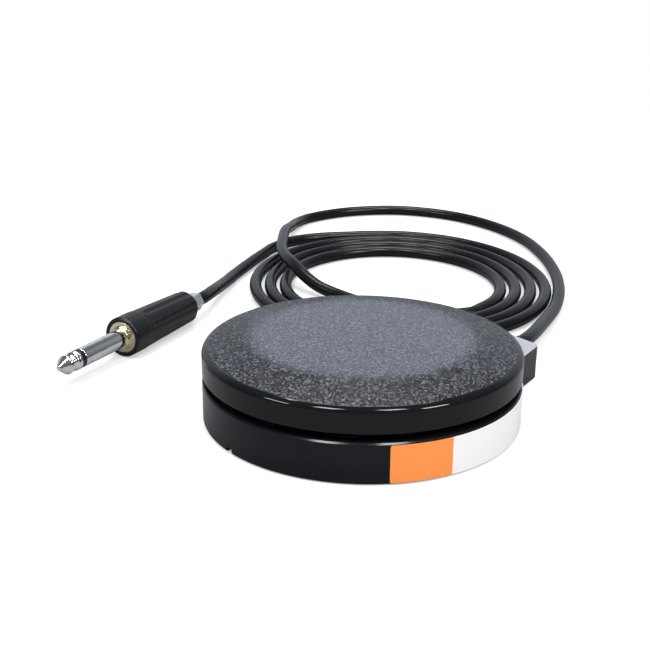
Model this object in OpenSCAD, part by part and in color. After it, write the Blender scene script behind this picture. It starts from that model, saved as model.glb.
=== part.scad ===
// Round foot pedal switch with a coiled cord and a phone plug.
// Millimetres, +Z up, floor at z = 0, origin under the pedal's axis, cord outlet towards +Y.

/* [Base] */
// Diameter of the round base and of the cap above it
base_d = 95; // [88:1:104]
// Height of the base rim above the floor
base_h = 12; // [12:0.5:15]
// Thickness of the upright walls
wall_t = 2.4; // [2:0.1:3]
// Thickness of the base floor
floor_t = 2.4; // [2:0.1:3]
// Thickness of the rubber pad under the base
pad_t = 2; // [1.6:0.1:2.6]
// Gap between the floor and the lower edge of the wall
lift = 0.2; // [0.2:0.1:0.8]
// Width of each notch in the lower edge of the wall
notch_w = 2.4; // [1.5:0.1:4]
// Height of each notch
notch_h = 1.3; // [0.8:0.1:1.5]

/* [Cap] */
// Open gap between the base rim and the cap rim
cap_gap = 2.5; // [2.3:0.1:3.5]
// Height of the glossy upright band of the cap
band_h = 5.8; // [5.4:0.1:8]
// Height of the rounded shoulder above the band
shoulder_h = 1.6; // [1.2:0.1:2]
// Width of the rounded shoulder
shoulder_w = 1.5; // [1.2:0.1:2]
// Rise of the grained slope
slope_h = 2.6; // [2:0.1:3.5]
// Diameter of the flatter middle
middle_d = 69.2; // [64:0.2:76]
// Rise of the middle from its edge to its centre
crown_h = 1.1; // [0.8:0.1:1.6]
// Wall of the cap
cap_t = 2.3; // [2:0.1:2.6]
// Distance that the cap travels when it is pressed
travel = 1.8; // [1.4:0.1:2]

/* [Guides and springs] */
// Clear space between a spring's seat and the skirt of the cap
guide_inset = 4.1; // [3.4:0.1:7]
// Diameter of a guide post
post_d = 7; // [6:0.2:7.4]
// Radial play of a post in its sleeve
post_play = 0.08; // [0.05:0.01:0.1]
// Wall of a guide sleeve
sleeve_t = 1.6; // [1.2:0.1:2]
// Rise of a sleeve above the base rim
sleeve_rise = 1; // [0.4:0.1:1.2]
// Diameter of a cap screw
screw_d = 3; // [2.5:0.1:3.2]
// Length of a cap screw in its post
screw_l = 9; // [7:0.5:10]
// Height of a cap screw's head
head_h = 1.9; // [1.6:0.1:2]
// Diameter of a retaining washer
washer_d = 9.2; // [8.8:0.1:9.6]
// Thickness of a retaining washer
washer_t = 0.6; // [0.5:0.1:0.8]
// Wire diameter of a return spring
spring_wire = 1; // [0.8:0.05:1.2]
// Curls of a return spring
spring_curls = 5; // [4:1:6]

/* [Switch] */
// Length of the switch case
switch_l = 19.8; // [19:0.1:21]
// Width of the switch case
switch_w = 6.4; // [6.2:0.1:7]
// Height of the switch case
switch_h = 9; // [8.8:0.1:9.4]
// Wall of the switch case
case_t = 1.2; // [1:0.05:1.3]
// Distance between the two mounting holes
switch_pitch = 9.5; // [9.3:0.1:9.8]
// Diameter of the switch screws
switch_screw_d = 2.2; // [2:0.05:2.3]
// Length of a terminal below the case
terminal_l = 3.2; // [2.8:0.1:3.6]
// Distance from the lever's pin to the pedal's axis
lever_arm = 12.5; // [12:0.1:13]
// Distance from the lever's pin to the button
button_arm = 4.5; // [4.2:0.1:4.8]
// Angle of the lever at rest
lever_rest = 8; // [7.5:0.1:9]
// Thickness of the lever
lever_t = 0.3; // [0.2:0.05:0.4]
// Width of the lever
lever_w = 4; // [3.5:0.1:4.2]

/* [Cord outlet] */
// Reach of the outlet block beyond the base
outlet_reach = 16.4; // [12:0.2:18]
// Width of the outlet block where it leaves the base
outlet_root_w = 41; // [38:0.2:44]
// Width of the outlet block at its end
outlet_end_w = 26.2; // [22:0.2:30]
// Height of the outlet block's top above the floor
outlet_h = 11; // [10.8:0.1:11.6]
// Rounding of the outlet block's corners
outlet_round = 2.6; // [1.5:0.1:4]
// Diameter of the cord
cord_d = 4.8; // [4.2:0.1:5]

/* [Label] */
// Distance of the side label from the wall's bevelled edges
label_margin = 0.2; // [0.1:0.1:2]
// Width of the side label in degrees round the base
label_angle = 87.5; // [60:0.5:89]
// Thickness of the side label
label_t = 0.2; // [0.15:0.05:0.3]

/* [Plug] */
// Diameter of the plug's sleeve and tip
sleeve_d = 6.35; // [6.25:0.05:6.4]
// Length from the tip to the collar
contact_l = 30.4; // [29:0.2:32]
// Diameter of the collar's boss round the sleeve
collar_d = 7.9; // [7.6:0.1:9]
// Diameter of the handle
handle_d = 13.9; // [13:0.1:16]
// Length of the handle
handle_l = 39.5; // [36:0.5:42]
// Length of the smooth ring at the handle's front
handle_ring_l = 8; // [7:0.5:10]
// Broad ribs round the handle
handle_ribs = 8; // [6:1:10]
// Width across the corners of the six-sided ferrule behind the handle
ferrule_d = 7.2; // [7:0.1:7.6]
// Length of the ferrule that shows
ferrule_l = 5.6; // [4:0.2:8]

/* [Hidden] */
$fn = 96;

// Shared allowances
over = 0.5;         // overrun of a cut past the face that it opens
gap = 0.1;          // small assembly gap
film = 0.02;        // bond line or close fit between fixed pieces

// Levels of the base
base_r = base_d / 2;
floor_z = pad_t + floor_t;
rim_bevel = 0.4;
hollow_r = base_r - wall_t;
pad_gap = 0.5;
pad_r = hollow_r - pad_gap;
notch_angles = [-9, 171, 270];

// Levels of the cap
cap_z = base_h + cap_gap;
band_z = cap_z + band_h;
shoulder_z = band_z + shoulder_h;
slope_z = shoulder_z + slope_h;
apex_z = slope_z + crown_h;
shoulder_r = base_r - shoulder_w;
middle_r = middle_d / 2;
skirt_r = base_r - cap_t;
skirt_z = shoulder_z - cap_t;
ceiling_z = apex_z - cap_t;
arc_steps = 8;
crown_steps = 5;

// Tabs that centre the cap's skirt
tab_count = 7;
tab_first = -24;
tab_angle = 8;
tab_t = 1.6;
tab_gap = 0.5;
tab_r = min(skirt_r, hollow_r) - tab_gap;
tab_rise = 5;

// Guides, screws and springs
guide_first = 45;
guides = 4;
head_clear = 0.4;
head_d = 5.6;
post_z = pad_t + travel + head_clear + head_h + washer_t;
ledge_z = post_z + gap;
pocket_play = 0.3;
pocket_r = washer_d / 2 + pocket_play;
pocket_t = 1.2;
bore_r = post_d / 2 + post_play;
sleeve_z = base_h + sleeve_rise;
ledge_t = 1.2;
collar_z = sleeve_z + travel + gap;
collar_r = bore_r + sleeve_t;
seat_z = skirt_z - gap;
spring_play = 0.4;
spring_r = pocket_r + pocket_t + spring_play + spring_wire / 2;
seat_t = 0.6;
seat_r = spring_r + spring_wire / 2 + seat_t;
guide_r = skirt_r - guide_inset - seat_r;
rib_t = 1.6;
rib_h = 2;

// Switch: its case lies along X, with the lever's contact point on the pedal's axis
terminal_clear = 0.4;
case_z = floor_z + terminal_clear + terminal_l;
case_top = case_z + switch_h;
pin_x = -lever_arm;
pin_inset = 1.4;
case_x = pin_x - pin_inset;
case_end = case_x + switch_l;
pin_r = 0.5;
pin_play = 0.05;
barrel_r = 0.9;
pin_rise = 1.2;
pin_z = case_top + pin_rise;
ear_t = 0.8;
ear_w = 2.6;
lever_tip_over = 4;
cover_t = 0.8;
half_w = switch_w / 2;
cavity_x = case_x + case_t;
cavity_end = case_end - case_t;
cavity_y = half_w - case_t + 2 * gap;
cavity_z = case_z + case_t;
cavity_top = case_top - case_t;
hole_mid_x = (case_x + case_end) / 2;
hole_clear = 0.1;
boss_t = 0.8;
screw_rise = 1.4;
switch_boss_r = switch_screw_d / 2 + hole_clear + boss_t;
screw_z = cavity_z + screw_rise;
boss_top = screw_z + switch_boss_r;
switch_head_r = 2;
switch_head_h = 1.3;

// Button and blade inside the switch
button_r = 1;
button_x = pin_x + button_arm;
button_play = 0.1;
button_travel = travel * button_arm / lever_arm;
blade_t = 0.2;
blade_w = 2.4;
blade_y = -0.3;
contact_rise = 0.3;
contact_r = 0.6;
terminal_t = 0.5;
terminal_w = 3;
common_x = cavity_end - 2 * terminal_t;
blade_end = common_x - terminal_t / 2 - gap;
blade_start = cavity_x + terminal_t + 2 * gap;
contact_x = blade_start + contact_r + gap;
blade_arm = blade_end - button_x;
blade_swing = button_travel * (blade_end - contact_x) / blade_arm;
open_z = boss_top + gap / 2;
blade_z = open_z + contact_rise + blade_swing + contact_rise + gap;
button_gap = 0.15;
button_foot = blade_z + blade_t + button_gap;
button_top = pin_z + (button_arm - button_r) * tan(lever_rest) - lever_t / 2 / cos(lever_rest)
    - button_gap;
flange_r = 1.4;
flange_t = 0.4;
flange_z = cavity_top - flange_t - gap;
strip_t = 0.3;
strip_y = 1.5;
closed_x = hole_mid_x;
open_x = cavity_x + terminal_t / 2 + gap;

// Wall that the switch is screwed to
mount_t = 3;
mount_inset = 1;
mount_top = screw_z + switch_boss_r + boss_t;

// Rounded tip on the cap that presses the lever
actuator_r = 2;
actuator_gap = 0.3;
actuator_z = pin_z + (actuator_r + actuator_gap + lever_t / 2 + lever_arm * sin(lever_rest))
    / cos(lever_rest);
actuator_root_r = 4;

// Cord outlet and clamp
cord_r = cord_d / 2;
outlet_y = base_r + outlet_reach;
outlet_root_y = sqrt(base_r * base_r - outlet_root_w * outlet_root_w / 4);
outlet_taper = atan((outlet_root_w - outlet_end_w) / 2 / (outlet_y - outlet_root_y));
outlet_top_t = 1.3;
outlet_wall = wall_t / cos(outlet_taper);
channel_w = 13;
channel_y = hollow_r - tab_t - tab_gap;
cord_z = floor_z + cord_r + gap;
grommet_t = 0.85;
grommet_r = cord_r + grommet_t;
grommet_flange_r = grommet_r + grommet_t / 2;
grommet_flange_t = 1.2;
cord_start_y = outlet_y + grommet_flange_t;
clamp_inset = 7;
clamp_y = hollow_r - clamp_inset;
clamp_post_r = 3;
clamp_side = 0.8;
clamp_post_x = cord_r + clamp_side + clamp_post_r;
clamp_end_x = clamp_post_x + clamp_post_r;
clamp_w = 6;
clamp_t = 1.8;
clamp_screw_r = 1.1;
clamp_head_r = 2.1;
clamp_head_h = 1.5;
clamp_bite = 0.2;
clamp_z = cord_z + cord_r;
jacket_end_y = clamp_y - clamp_w;

// Leads from the cord's end to the switch
lead_d = 1.5;
lead_x = 1.1;
lead_z = case_z - terminal_l / 2;
lead_sides = 6;
lead_step = 4;
lead_side_run = 3.6;

// Label
label_start = -30.5;
label_z = lift + rim_bevel / 2 + label_margin;
label_h = base_h - rim_bevel - label_margin - label_z;

// Places of the switch's leads: across, along and up, from the jacket's end to a terminal
common_lead_route = [[lead_x, jacket_end_y - film, cord_z],
    [lead_x, jacket_end_y - lead_d, cord_z],
    [lead_x + lead_side_run / 2, jacket_end_y - lead_side_run, cord_z],
    [case_end, 2 * mount_t + switch_w, lead_z],
    [case_end + lead_side_run, half_w + mount_t, lead_z],
    [case_end + lead_side_run / 2, lead_d / 2, lead_z],
    [common_x + terminal_t / 2 + lead_d, 0, lead_z],
    [common_x + terminal_t / 2 + film, 0, lead_z]];
signal_lead_route = [[-lead_x, jacket_end_y - film, cord_z],
    [-lead_x, jacket_end_y - lead_d, cord_z],
    [-lead_x - lead_side_run / 2, jacket_end_y - lead_side_run, cord_z],
    [case_x, 2 * mount_t + switch_w, lead_z],
    [case_x - lead_side_run, half_w + mount_t, lead_z],
    [case_x - lead_side_run / 2, lead_d / 2, lead_z],
    [open_x - terminal_t / 2 - lead_d, 0, lead_z],
    [open_x - terminal_t / 2 - film, 0, lead_z]];

// Plug: its ferrule ends at plug_rear, and its axis runs from the tip at plug_turn
plug_rear = [-102, 4.8];
plug_turn = 114.5;
plug_z = handle_d / 2;
handle_chamfer = 2.3;
handle_rear_r = 4.4;
collar_front_l = 1.6;
handle_s = contact_l + collar_front_l;
plug_l = handle_s + handle_l + ferrule_l;
handle_end = handle_s + handle_l;
handle_step_s = handle_end - handle_chamfer;
jack_r = sleeve_d / 2;
rod_r = 1;
tube_r = 1.9;
nose_l = 3.6;
neck_l = 6.2;
neck_r = 2.1;
nose_flat_r = 0.5;
nose_edge = 0.5;
ring_l = 8.4;
insulator_l = 10.4;
shank_r = 2.8;
collar_thread_r = 4.9;
collar_thread_l = 7;
collar_step_r = 5.5;
collar_step_l = 0.6;
collar_recess = 0.4;
collar_back_s = handle_s + collar_recess + collar_step_l;
ferrule_sides = 6;
handle_bore_r = collar_thread_r + gap;
handle_taper = 1;
handle_rib_h = 0.5;
handle_rib_w = 2.6;
ferrule_r = ferrule_d / 2;
liner_t = 0.4;
liner_gap = 0.1;
liner_l = 20;
lug_t = 0.6;
lug_w = 3.2;
crimp_l = 4.4;
cord_in_l = 14;
inner_s = handle_s + collar_thread_l;

// Free stretches of the cord, from the outlet to the coil and from the coil to the plug
cord_sides = 8;
coil_sides = 6;
ring_step = 12;
run_route = [[0, 70, 6.7], [-2.6, 77, 6.2], [-6.9, 85.2, 5.4], [-12.6, 95, 4.3], [-19, 106, 3.3],
    [-25, 116, 2.6], [-32.5, 126.7, 2.4], [-43.7, 140.1, 2.4], [-58.8, 154.5, 2.4],
    [-79, 169.6, 2.4], [-102, 181.9, 2.4],
    [-128, 188, 2.4], [-154, 186, 2.4], [-177, 173, 2.4], [-190, 151, 2.4], [-192, 127, 2.4],
    [-186, 113, 3], [-175, 102, 5.2], [-163, 90, 7.8], [-150, 79, 8.4], [-138, 70, 8.4],
    [-127, 64, 8.4], [-116, 60, 8.2], [-106, 58, 6.2], [-97, 58, 4], [-87, 60, 2.6],
    [-76, 61, 2.4], [-64, 62, 2.4], [-53, 66, 2.4], [-46, 73, 2.4]];
tail_route = [[-160, 105, 2.4], [-161.5, 92, 2.4], [-158, 79.5, 2.4], [-151.6, 69, 2.4],
    [-145.5, 59.5, 2.4], [-134.5, 44, 2.6], [-126, 34, 3.4], [-117.5, 24.8, 4.8],
    [-109.8, 16.6, 6.3]];

// Coil: a flat oval spiral that opens out turn by turn and drifts along its longer axis
coil_centre = [-84, 88];
coil_turn = 52;
coil_first = -45;
coil_turns = 3.4;
coil_rings = 24;
coil_a = 41;
coil_b = 45;
coil_a_step = 6.1;
coil_b_step = 7.7;
coil_drift = 1.4;

// Unit vector of a vector
function unit(v) = v / norm(v);

// Member i of a list, or a point beyond its end in line with the last two
function member(p, i) = i < 0 ? 2 * p[0] - p[1]
    : i >= len(p) ? 2 * p[len(p) - 1] - p[len(p) - 2] : p[i];

// Point at share u between b and c on the smooth curve through a, b, c and d
function curve_point(a, b, c, d, u) = (2 * b + (c - a) * u + (2 * a - 5 * b + 4 * c - d) * u * u
    + (3 * b - a - 3 * c + d) * u * u * u) / 2;

// Point kept no lower than height z
function no_lower(p, z) = [p[0], p[1], max(p[2], z)];

// Smooth route through the points, with steps of about the given length, no lower than z
function smooth(p, step, z) = concat([for (i = [0 : len(p) - 2])
    let (n = max(1, ceil(norm(p[i + 1] - p[i]) / step)))
    for (k = [0 : n - 1])
        no_lower(curve_point(member(p, i - 1), p[i], p[i + 1], member(p, i + 2), k / n), z)],
    [p[len(p) - 1]]);

// Direction of the route at its member i
function heading(p, i) = unit(p[min(i + 1, len(p) - 1)] - p[max(i - 1, 0)]);

// Corner k of the ring round member i of a route
function ring_corner(p, i, k, r, sides) =
    let (h = heading(p, i), side = unit(cross(h, [0, 0, 1])), up = cross(side, h),
        a = 360 * (k + 1 / 2) / sides)
    p[i] + r * (side * cos(a) + up * sin(a));

// One unbroken tube of diameter d along a route
module tube(p, d, sides) {
    rings = len(p);
    corners = [for (i = [0 : rings - 1]) for (k = [0 : sides - 1])
        ring_corner(p, i, k, d / 2, sides)];
    skin = [for (i = [0 : rings - 2]) for (k = [0 : sides - 1])
        let (a = i * sides + k, b = i * sides + (k + 1) % sides)
        for (t = [0 : 1]) t == 0 ? [a, a + sides, b + sides] : [a, b + sides, b]];
    start = [for (k = [1 : sides - 2]) [0, k, k + 1]];
    last = (rings - 1) * sides;
    end = [for (k = [1 : sides - 2]) [last, last + k + 1, last + k]];
    polyhedron(corners, concat(skin, start, end));
}

// Distance from a point to the line between a and b
function line_distance(p, a, b) =
    let (ab = b - a, t = max(0, min(1, ((p - a) * ab) / (ab * ab)))) norm(p - a - t * ab);

// Least gap of a tube to itself, leaving out the next few members of its route
function least_gap(p, d, skip) = min([for (i = [0 : len(p) - 1]) for (j = [0 : len(p) - 2])
    if (j > i + skip || j + 1 < i - skip) line_distance(p[i], p[j], p[j + 1])]) - d;

// Length of a route
function route_length(p, i = 1) = i >= len(p) ? 0
    : norm(p[i] - p[i - 1]) + route_length(p, i + 1);

// Coil's centre line at t turns
function coil_point(t) =
    let (a = coil_first + 360 * t, along = [cos(coil_turn), sin(coil_turn)],
        across = [-sin(coil_turn), cos(coil_turn)],
        flat = coil_centre + along * (coil_a + coil_a_step * t) * cos(a)
            + across * (coil_drift * t + (coil_b + coil_b_step * t) * sin(a)))
    [flat[0], flat[1], cord_r];
coil_steps = ceil(coil_turns * coil_rings);
coil_curve = [for (i = [0 : coil_steps]) coil_point(coil_turns * i / coil_steps)];
near_share = 0.004;
coil_in = coil_point(0) + cord_d * unit(coil_point(-near_share) - coil_point(near_share));
coil_out = coil_point(coil_turns) + cord_d * unit(coil_point(coil_turns + near_share)
    - coil_point(coil_turns - near_share));
coil_path = concat([coil_in], coil_curve, [coil_out]);

// Free stretches, joined to the outlet, the coil and the plug
plug_axis = [cos(plug_turn), sin(plug_turn), 0];
plug_rear_point = [plug_rear[0], plug_rear[1], plug_z];
run_path = smooth(concat([[0, cord_start_y, cord_z]], run_route, [coil_in]), ring_step, cord_r);
tail_path = smooth(concat([coil_out], tail_route,
    [plug_rear_point + cord_d * plug_axis, plug_rear_point]), ring_step, cord_r);
cord_path = concat(run_path, coil_curve, tail_path);
echo(cord_length = route_length(cord_path));
echo(cord_least_gap = least_gap(cord_path, cord_d, 5));
echo(rings = [len(run_path), len(coil_path), len(tail_path)]);

// Height of a spring's wire at a share of its curls, closed at both ends
closed_share = 0.15;
function spring_rise(share) =
    let (flat = spring_wire * spring_curls * closed_share * 1.1,
        full = seat_z - floor_z - spring_wire - 2 * film)
    share < closed_share ? flat * share / closed_share
    : share > 1 - closed_share ? full - flat * (1 - share) / closed_share
    : flat + (full - 2 * flat) * (share - closed_share) / (1 - 2 * closed_share);
spring_rings = 12;
spring_steps = spring_curls * spring_rings;
spring_path = [for (i = [0 : spring_steps])
    let (share = i / spring_steps, a = 360 * spring_curls * share)
    [spring_r * cos(a), spring_r * sin(a),
        floor_z + film + spring_wire / 2 + spring_rise(share)]];
echo(spring_least_gap = least_gap(spring_path, spring_wire, 3));

// Copies of the children at the four guides
module at_guides() {
    for (i = [0 : guides - 1])
        rotate([0, 0, guide_first + 360 * i / guides]) translate([guide_r, 0, 0]) children();
}

// Upright cylinder between two heights
module post(r, z0, z1) {
    translate([0, 0, z0]) cylinder(r = r, h = z1 - z0);
}

// Box between two corners
module box(low, high) {
    translate(low) cube(high - low);
}

// Cylinder along Y between two places
module bar_y(r, x, z, y0, y1) {
    translate([x, y0, z]) rotate([-90, 0, 0]) cylinder(r = r, h = y1 - y0);
}

// Points of an arc
function corner_arc(cx, cy, r, a0, a1) = [for (i = [0 : arc_steps])
    let (a = a0 + (a1 - a0) * i / arc_steps) [cx + r * cos(a), cy + r * sin(a)]];

// Outline of the outlet block, seen from above
module outlet_outline() {
    end_x = outlet_end_w / 2 - outlet_round * (1 - sin(outlet_taper)) / cos(outlet_taper);
    end_y = outlet_y - outlet_round;
    polygon(concat([[outlet_root_w / 2, outlet_root_y]],
        corner_arc(end_x, end_y, outlet_round, outlet_taper, 90),
        corner_arc(-end_x, end_y, outlet_round, 90, 180 - outlet_taper),
        [[-outlet_root_w / 2, outlet_root_y], [-outlet_root_w / 2, hollow_r / 2],
        [outlet_root_w / 2, hollow_r / 2]]));
}

// Hollow of the outlet block between two heights
module outlet_hollow(z0, z1) {
    half_root = outlet_root_w / 2 - outlet_wall;
    half_end = outlet_end_w / 2 - outlet_wall + wall_t * tan(outlet_taper);
    difference() {
        translate([0, 0, z0]) linear_extrude(z1 - z0) polygon([[half_root, outlet_root_y],
            [half_end, outlet_y - wall_t], [-half_end, outlet_y - wall_t],
            [-half_root, outlet_root_y]]);
        post(base_r, z0 - over, z1 + over);
    }
}

// Outlet block, closed above the cord's channel
module outlet_block() {
    difference() {
        translate([0, 0, lift]) linear_extrude(outlet_h - lift) outlet_outline();
        post(hollow_r + wall_t / 2, -over, outlet_h + over);
        outlet_hollow(lift - over, pad_t);
        outlet_hollow(floor_z, outlet_h - outlet_top_t);
    }
}

// One guide sleeve: a pocket for the screw below, a bore for the post above
module sleeve() {
    post(pocket_r + pocket_t, floor_z - floor_t / 2, ledge_z + ledge_t);
    post(collar_r, ledge_z, sleeve_z);
}

module sleeve_bore() {
    post(pocket_r, pad_t - over, ledge_z);
    post(bore_r, ledge_z - over, sleeve_z + over);
}

// Upright wall that carries the switch, with a gusset at each end
module switch_mount() {
    difference() {
        union() {
            box([case_x + mount_inset, half_w + film, floor_z - floor_t / 2],
                [case_end - mount_inset, half_w + mount_t, mount_top]);
            for (x = [case_x + mount_inset, case_end - mount_inset - mount_t / 2])
                box([x, half_w + mount_t / 2, floor_z - floor_t / 2],
                    [x + mount_t / 2, half_w + 2 * mount_t, screw_z]);
        }
        for (side = [-1, 1])
            bar_y(switch_screw_d / 2 + film, hole_mid_x + side * switch_pitch / 2, screw_z,
                half_w - over, half_w + mount_t + over);
    }
}

// Seven tabs inside the rim that centre the cap's skirt
module centring_tabs() {
    for (i = [0 : tab_count - 1])
        rotate([0, 0, tab_first + 360 * i / tab_count - tab_angle / 2])
            rotate_extrude(angle = tab_angle) union() {
                translate([tab_r - tab_t, floor_z - floor_t / 2])
                    square([tab_t, base_h + tab_rise - floor_z + floor_t / 2]);
                translate([tab_r - tab_t, floor_z - floor_t / 2])
                    square([hollow_r + wall_t / 2 - tab_r + tab_t,
                        base_h - rim_bevel * 2 - floor_z + floor_t / 2]);
            }
}

module base_housing() {
    color([0.06, 0.06, 0.065]) difference() {
        union() {
            difference() {
                union() {
                    rotate_extrude() polygon([[0, pad_t], [hollow_r, pad_t],
                        [hollow_r, lift], [base_r - rim_bevel / 2, lift],
                        [base_r, lift + rim_bevel / 2], [base_r, base_h - rim_bevel],
                        [base_r - rim_bevel, base_h], [hollow_r, base_h], [hollow_r, floor_z],
                        [0, floor_z]]);
                    outlet_block();
                }
                box([-channel_w / 2, channel_y, floor_z],
                    [channel_w / 2, base_r + over, outlet_h - outlet_top_t]);
            }
            at_guides() sleeve();
            switch_mount();
            centring_tabs();
            for (side = [-1, 1])
                translate([side * clamp_post_x, clamp_y, 0])
                    post(clamp_post_r, floor_z - floor_t / 2, clamp_z - clamp_bite);
        }
        at_guides() sleeve_bore();
        bar_y(grommet_r + film, 0, cord_z, outlet_y - wall_t - over, outlet_y + over);
        for (side = [-1, 1])
            translate([side * clamp_post_x, clamp_y, 0])
                post(clamp_screw_r + film, floor_z, clamp_z + over);
        for (a = notch_angles)
            rotate([0, 0, a]) box([hollow_r - over, -notch_w / 2, lift - over],
                [base_r + over, notch_w / 2, lift + notch_h]);
    }
}

module nonslip_pad() {
    color([0.13, 0.13, 0.13]) post(pad_r, 0, pad_t);
}

module side_label() {
    color([0.95, 0.55, 0.2]) rotate([0, 0, label_start])
        rotate_extrude(angle = label_angle)
            translate([base_r + film, label_z]) square([label_t, label_h]);
}

module cord_grommet() {
    color([0.1, 0.1, 0.1]) difference() {
        union() {
            bar_y(grommet_r, 0, cord_z, outlet_y - wall_t, outlet_y + grommet_flange_t / 2);
            bar_y(grommet_flange_r, 0, cord_z, outlet_y + film, outlet_y + grommet_flange_t);
        }
        bar_y(cord_r + film, 0, cord_z, outlet_y - wall_t - over, cord_start_y + over);
    }
}

module cord_in_base() {
    color([0.08, 0.08, 0.09]) bar_y(cord_r, 0, cord_z, jacket_end_y, cord_start_y);
}

module cord_clamp() {
    color([0.75, 0.76, 0.78]) difference() {
        box([-clamp_end_x, clamp_y - clamp_w / 2, clamp_z + film],
            [clamp_end_x, clamp_y + clamp_w / 2, clamp_z + clamp_t]);
        for (side = [-1, 1])
            translate([side * clamp_post_x, clamp_y, 0])
                post(clamp_screw_r + gap, clamp_z - over, clamp_z + clamp_t + over);
    }
}

module clamp_screws() {
    color([0.7, 0.71, 0.73]) for (side = [-1, 1])
        translate([side * clamp_post_x, clamp_y, 0]) difference() {
            union() {
                post(clamp_screw_r, floor_z + gap, clamp_z + clamp_t + over);
                post(clamp_head_r, clamp_z + clamp_t + film, clamp_z + clamp_t + clamp_head_h);
            }
            drive_slot(clamp_head_r, clamp_z + clamp_t + clamp_head_h);
        }
}

// Cross slot in a screw head whose top lies at height z
module drive_slot(r, z) {
    slot_share = 0.28;
    for (a = [0, 90])
        rotate([0, 0, a]) box([-r * (1 - slot_share), -r * slot_share / 2, z - r * slot_share],
            [r * (1 - slot_share), r * slot_share / 2, z + over]);
}

module common_lead() {
    color([0.9, 0.9, 0.88])
        tube(smooth(common_lead_route, lead_step, lead_d / 2), lead_d, lead_sides);
}

module signal_lead() {
    color([0.7, 0.1, 0.08])
        tube(smooth(signal_lead_route, lead_step, lead_d / 2), lead_d, lead_sides);
}

// Screw boss of the switch's case at one mounting hole
module hole_boss(x) {
    bar_y(switch_boss_r, x, screw_z, -half_w + cover_t + film, half_w);
}

module switch_case() {
    color([0.12, 0.12, 0.13]) difference() {
        union() {
            difference() {
                box([case_x, -half_w + cover_t + film, case_z], [case_end, half_w, case_top]);
                box([cavity_x, -half_w, cavity_z], [cavity_end, cavity_y, cavity_top]);
            }
            for (side = [-1, 1]) hole_boss(hole_mid_x + side * switch_pitch / 2);
            for (side = [-1, 1])
                translate([pin_x - ear_w / 2, side * (half_w - ear_t / 2), 0]) {
                    box([0, -ear_t / 2, case_top - case_t / 2],
                        [ear_w, ear_t / 2, pin_z + barrel_r]);
                    box([0, -ear_t, case_top - case_t / 2], [ear_w, ear_t, case_top]);
                }
        }
        for (side = [-1, 1])
            bar_y(switch_screw_d / 2 + hole_clear, hole_mid_x + side * switch_pitch / 2, screw_z,
                -half_w - over, half_w + over);
        bar_y(pin_r + film, pin_x, pin_z, -half_w - over, half_w + over);
        translate([button_x, 0, 0])
            post(button_r + button_play, cavity_top - over, case_top + over);
        for (x = [common_x, open_x, closed_x]) terminal_slot(x);
    }
}

// Slot in the case floor that a terminal passes through
module terminal_slot(x) {
    box([x - terminal_t / 2 - film, -terminal_w / 2 - film, case_z - over],
        [x + terminal_t / 2 + film, terminal_w / 2 + film, cavity_z + over]);
}

module switch_cover() {
    color([0.12, 0.12, 0.13]) difference() {
        box([case_x, -half_w, case_z], [case_end, -half_w + cover_t, case_top]);
        for (side = [-1, 1])
            bar_y(switch_screw_d / 2 + hole_clear, hole_mid_x + side * switch_pitch / 2, screw_z,
                -half_w - over, half_w);
        box([pin_x - ear_w / 2 - film, -half_w - over, case_top - case_t / 2 - film],
            [pin_x + ear_w / 2 + film, -half_w + cover_t + over, case_top + over]);
    }
}

module switch_screws() {
    color([0.72, 0.73, 0.75]) for (side = [-1, 1])
        translate([hole_mid_x + side * switch_pitch / 2, -half_w, screw_z]) rotate([90, 0, 0])
            difference() {
                union() {
                    post(switch_screw_d / 2, -switch_w - mount_t + gap, over);
                    post(switch_head_r, film, switch_head_h);
                }
                drive_slot(switch_head_r, switch_head_h);
            }
}

// Outer blade of a terminal with its stem up to height top
module terminal_blade(x, top) {
    difference() {
        box([x - terminal_t / 2, -terminal_w / 2, case_z - terminal_l],
            [x + terminal_t / 2, terminal_w / 2, cavity_z + film]);
        translate([x, 0, case_z - terminal_l / 2]) rotate([0, 90, 0])
            translate([0, 0, -terminal_t]) cylinder(r = terminal_t, h = 2 * terminal_t);
    }
    box([x - terminal_t / 2, -blade_w / 2 + blade_y, cavity_z - film],
        [x + terminal_t / 2, blade_w / 2 + blade_y, top]);
}

module common_terminal() {
    color([0.8, 0.68, 0.35]) {
        terminal_blade(common_x, blade_z + blade_t + contact_rise);
        box([common_x - terminal_t / 2 - contact_rise, -blade_w / 2 + blade_y,
            blade_z - 2 * contact_rise - gap], [common_x, blade_w / 2 + blade_y,
            blade_z - contact_rise]);
    }
}

module open_terminal() {
    color([0.8, 0.68, 0.35]) {
        terminal_blade(open_x, open_z + strip_t);
        box([open_x, -blade_w / 2 + blade_y, open_z],
            [contact_x + contact_r, blade_w / 2 + blade_y, open_z + strip_t]);
    }
}

module closed_terminal() {
    top = blade_z + blade_t + gap / 2;
    color([0.8, 0.68, 0.35]) {
        difference() {
            box([closed_x - terminal_t / 2, -terminal_w / 2, case_z - terminal_l],
                [closed_x + terminal_t / 2, terminal_w / 2, cavity_z + strip_t]);
            translate([closed_x, 0, case_z - terminal_l / 2]) rotate([0, 90, 0])
                translate([0, 0, -terminal_t]) cylinder(r = terminal_t, h = 2 * terminal_t);
        }
        box([closed_x - terminal_t / 2, strip_y, cavity_z], [closed_x + terminal_t / 2,
            cavity_y - film, top + strip_t]);
        box([cavity_x + gap, strip_y, top], [closed_x, cavity_y - film, top + strip_t]);
        box([cavity_x + gap, -blade_w / 2 + blade_y, top],
            [contact_x + contact_r, cavity_y - film, top + strip_t]);
    }
}

module switch_blade() {
    color([0.85, 0.6, 0.35]) {
        box([blade_start, -blade_w / 2 + blade_y, blade_z],
            [blade_end, blade_w / 2 + blade_y, blade_z + blade_t]);
        translate([contact_x, blade_y, 0])
            post(contact_r, blade_z - contact_rise, blade_z + blade_t / 2);
    }
}

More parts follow.
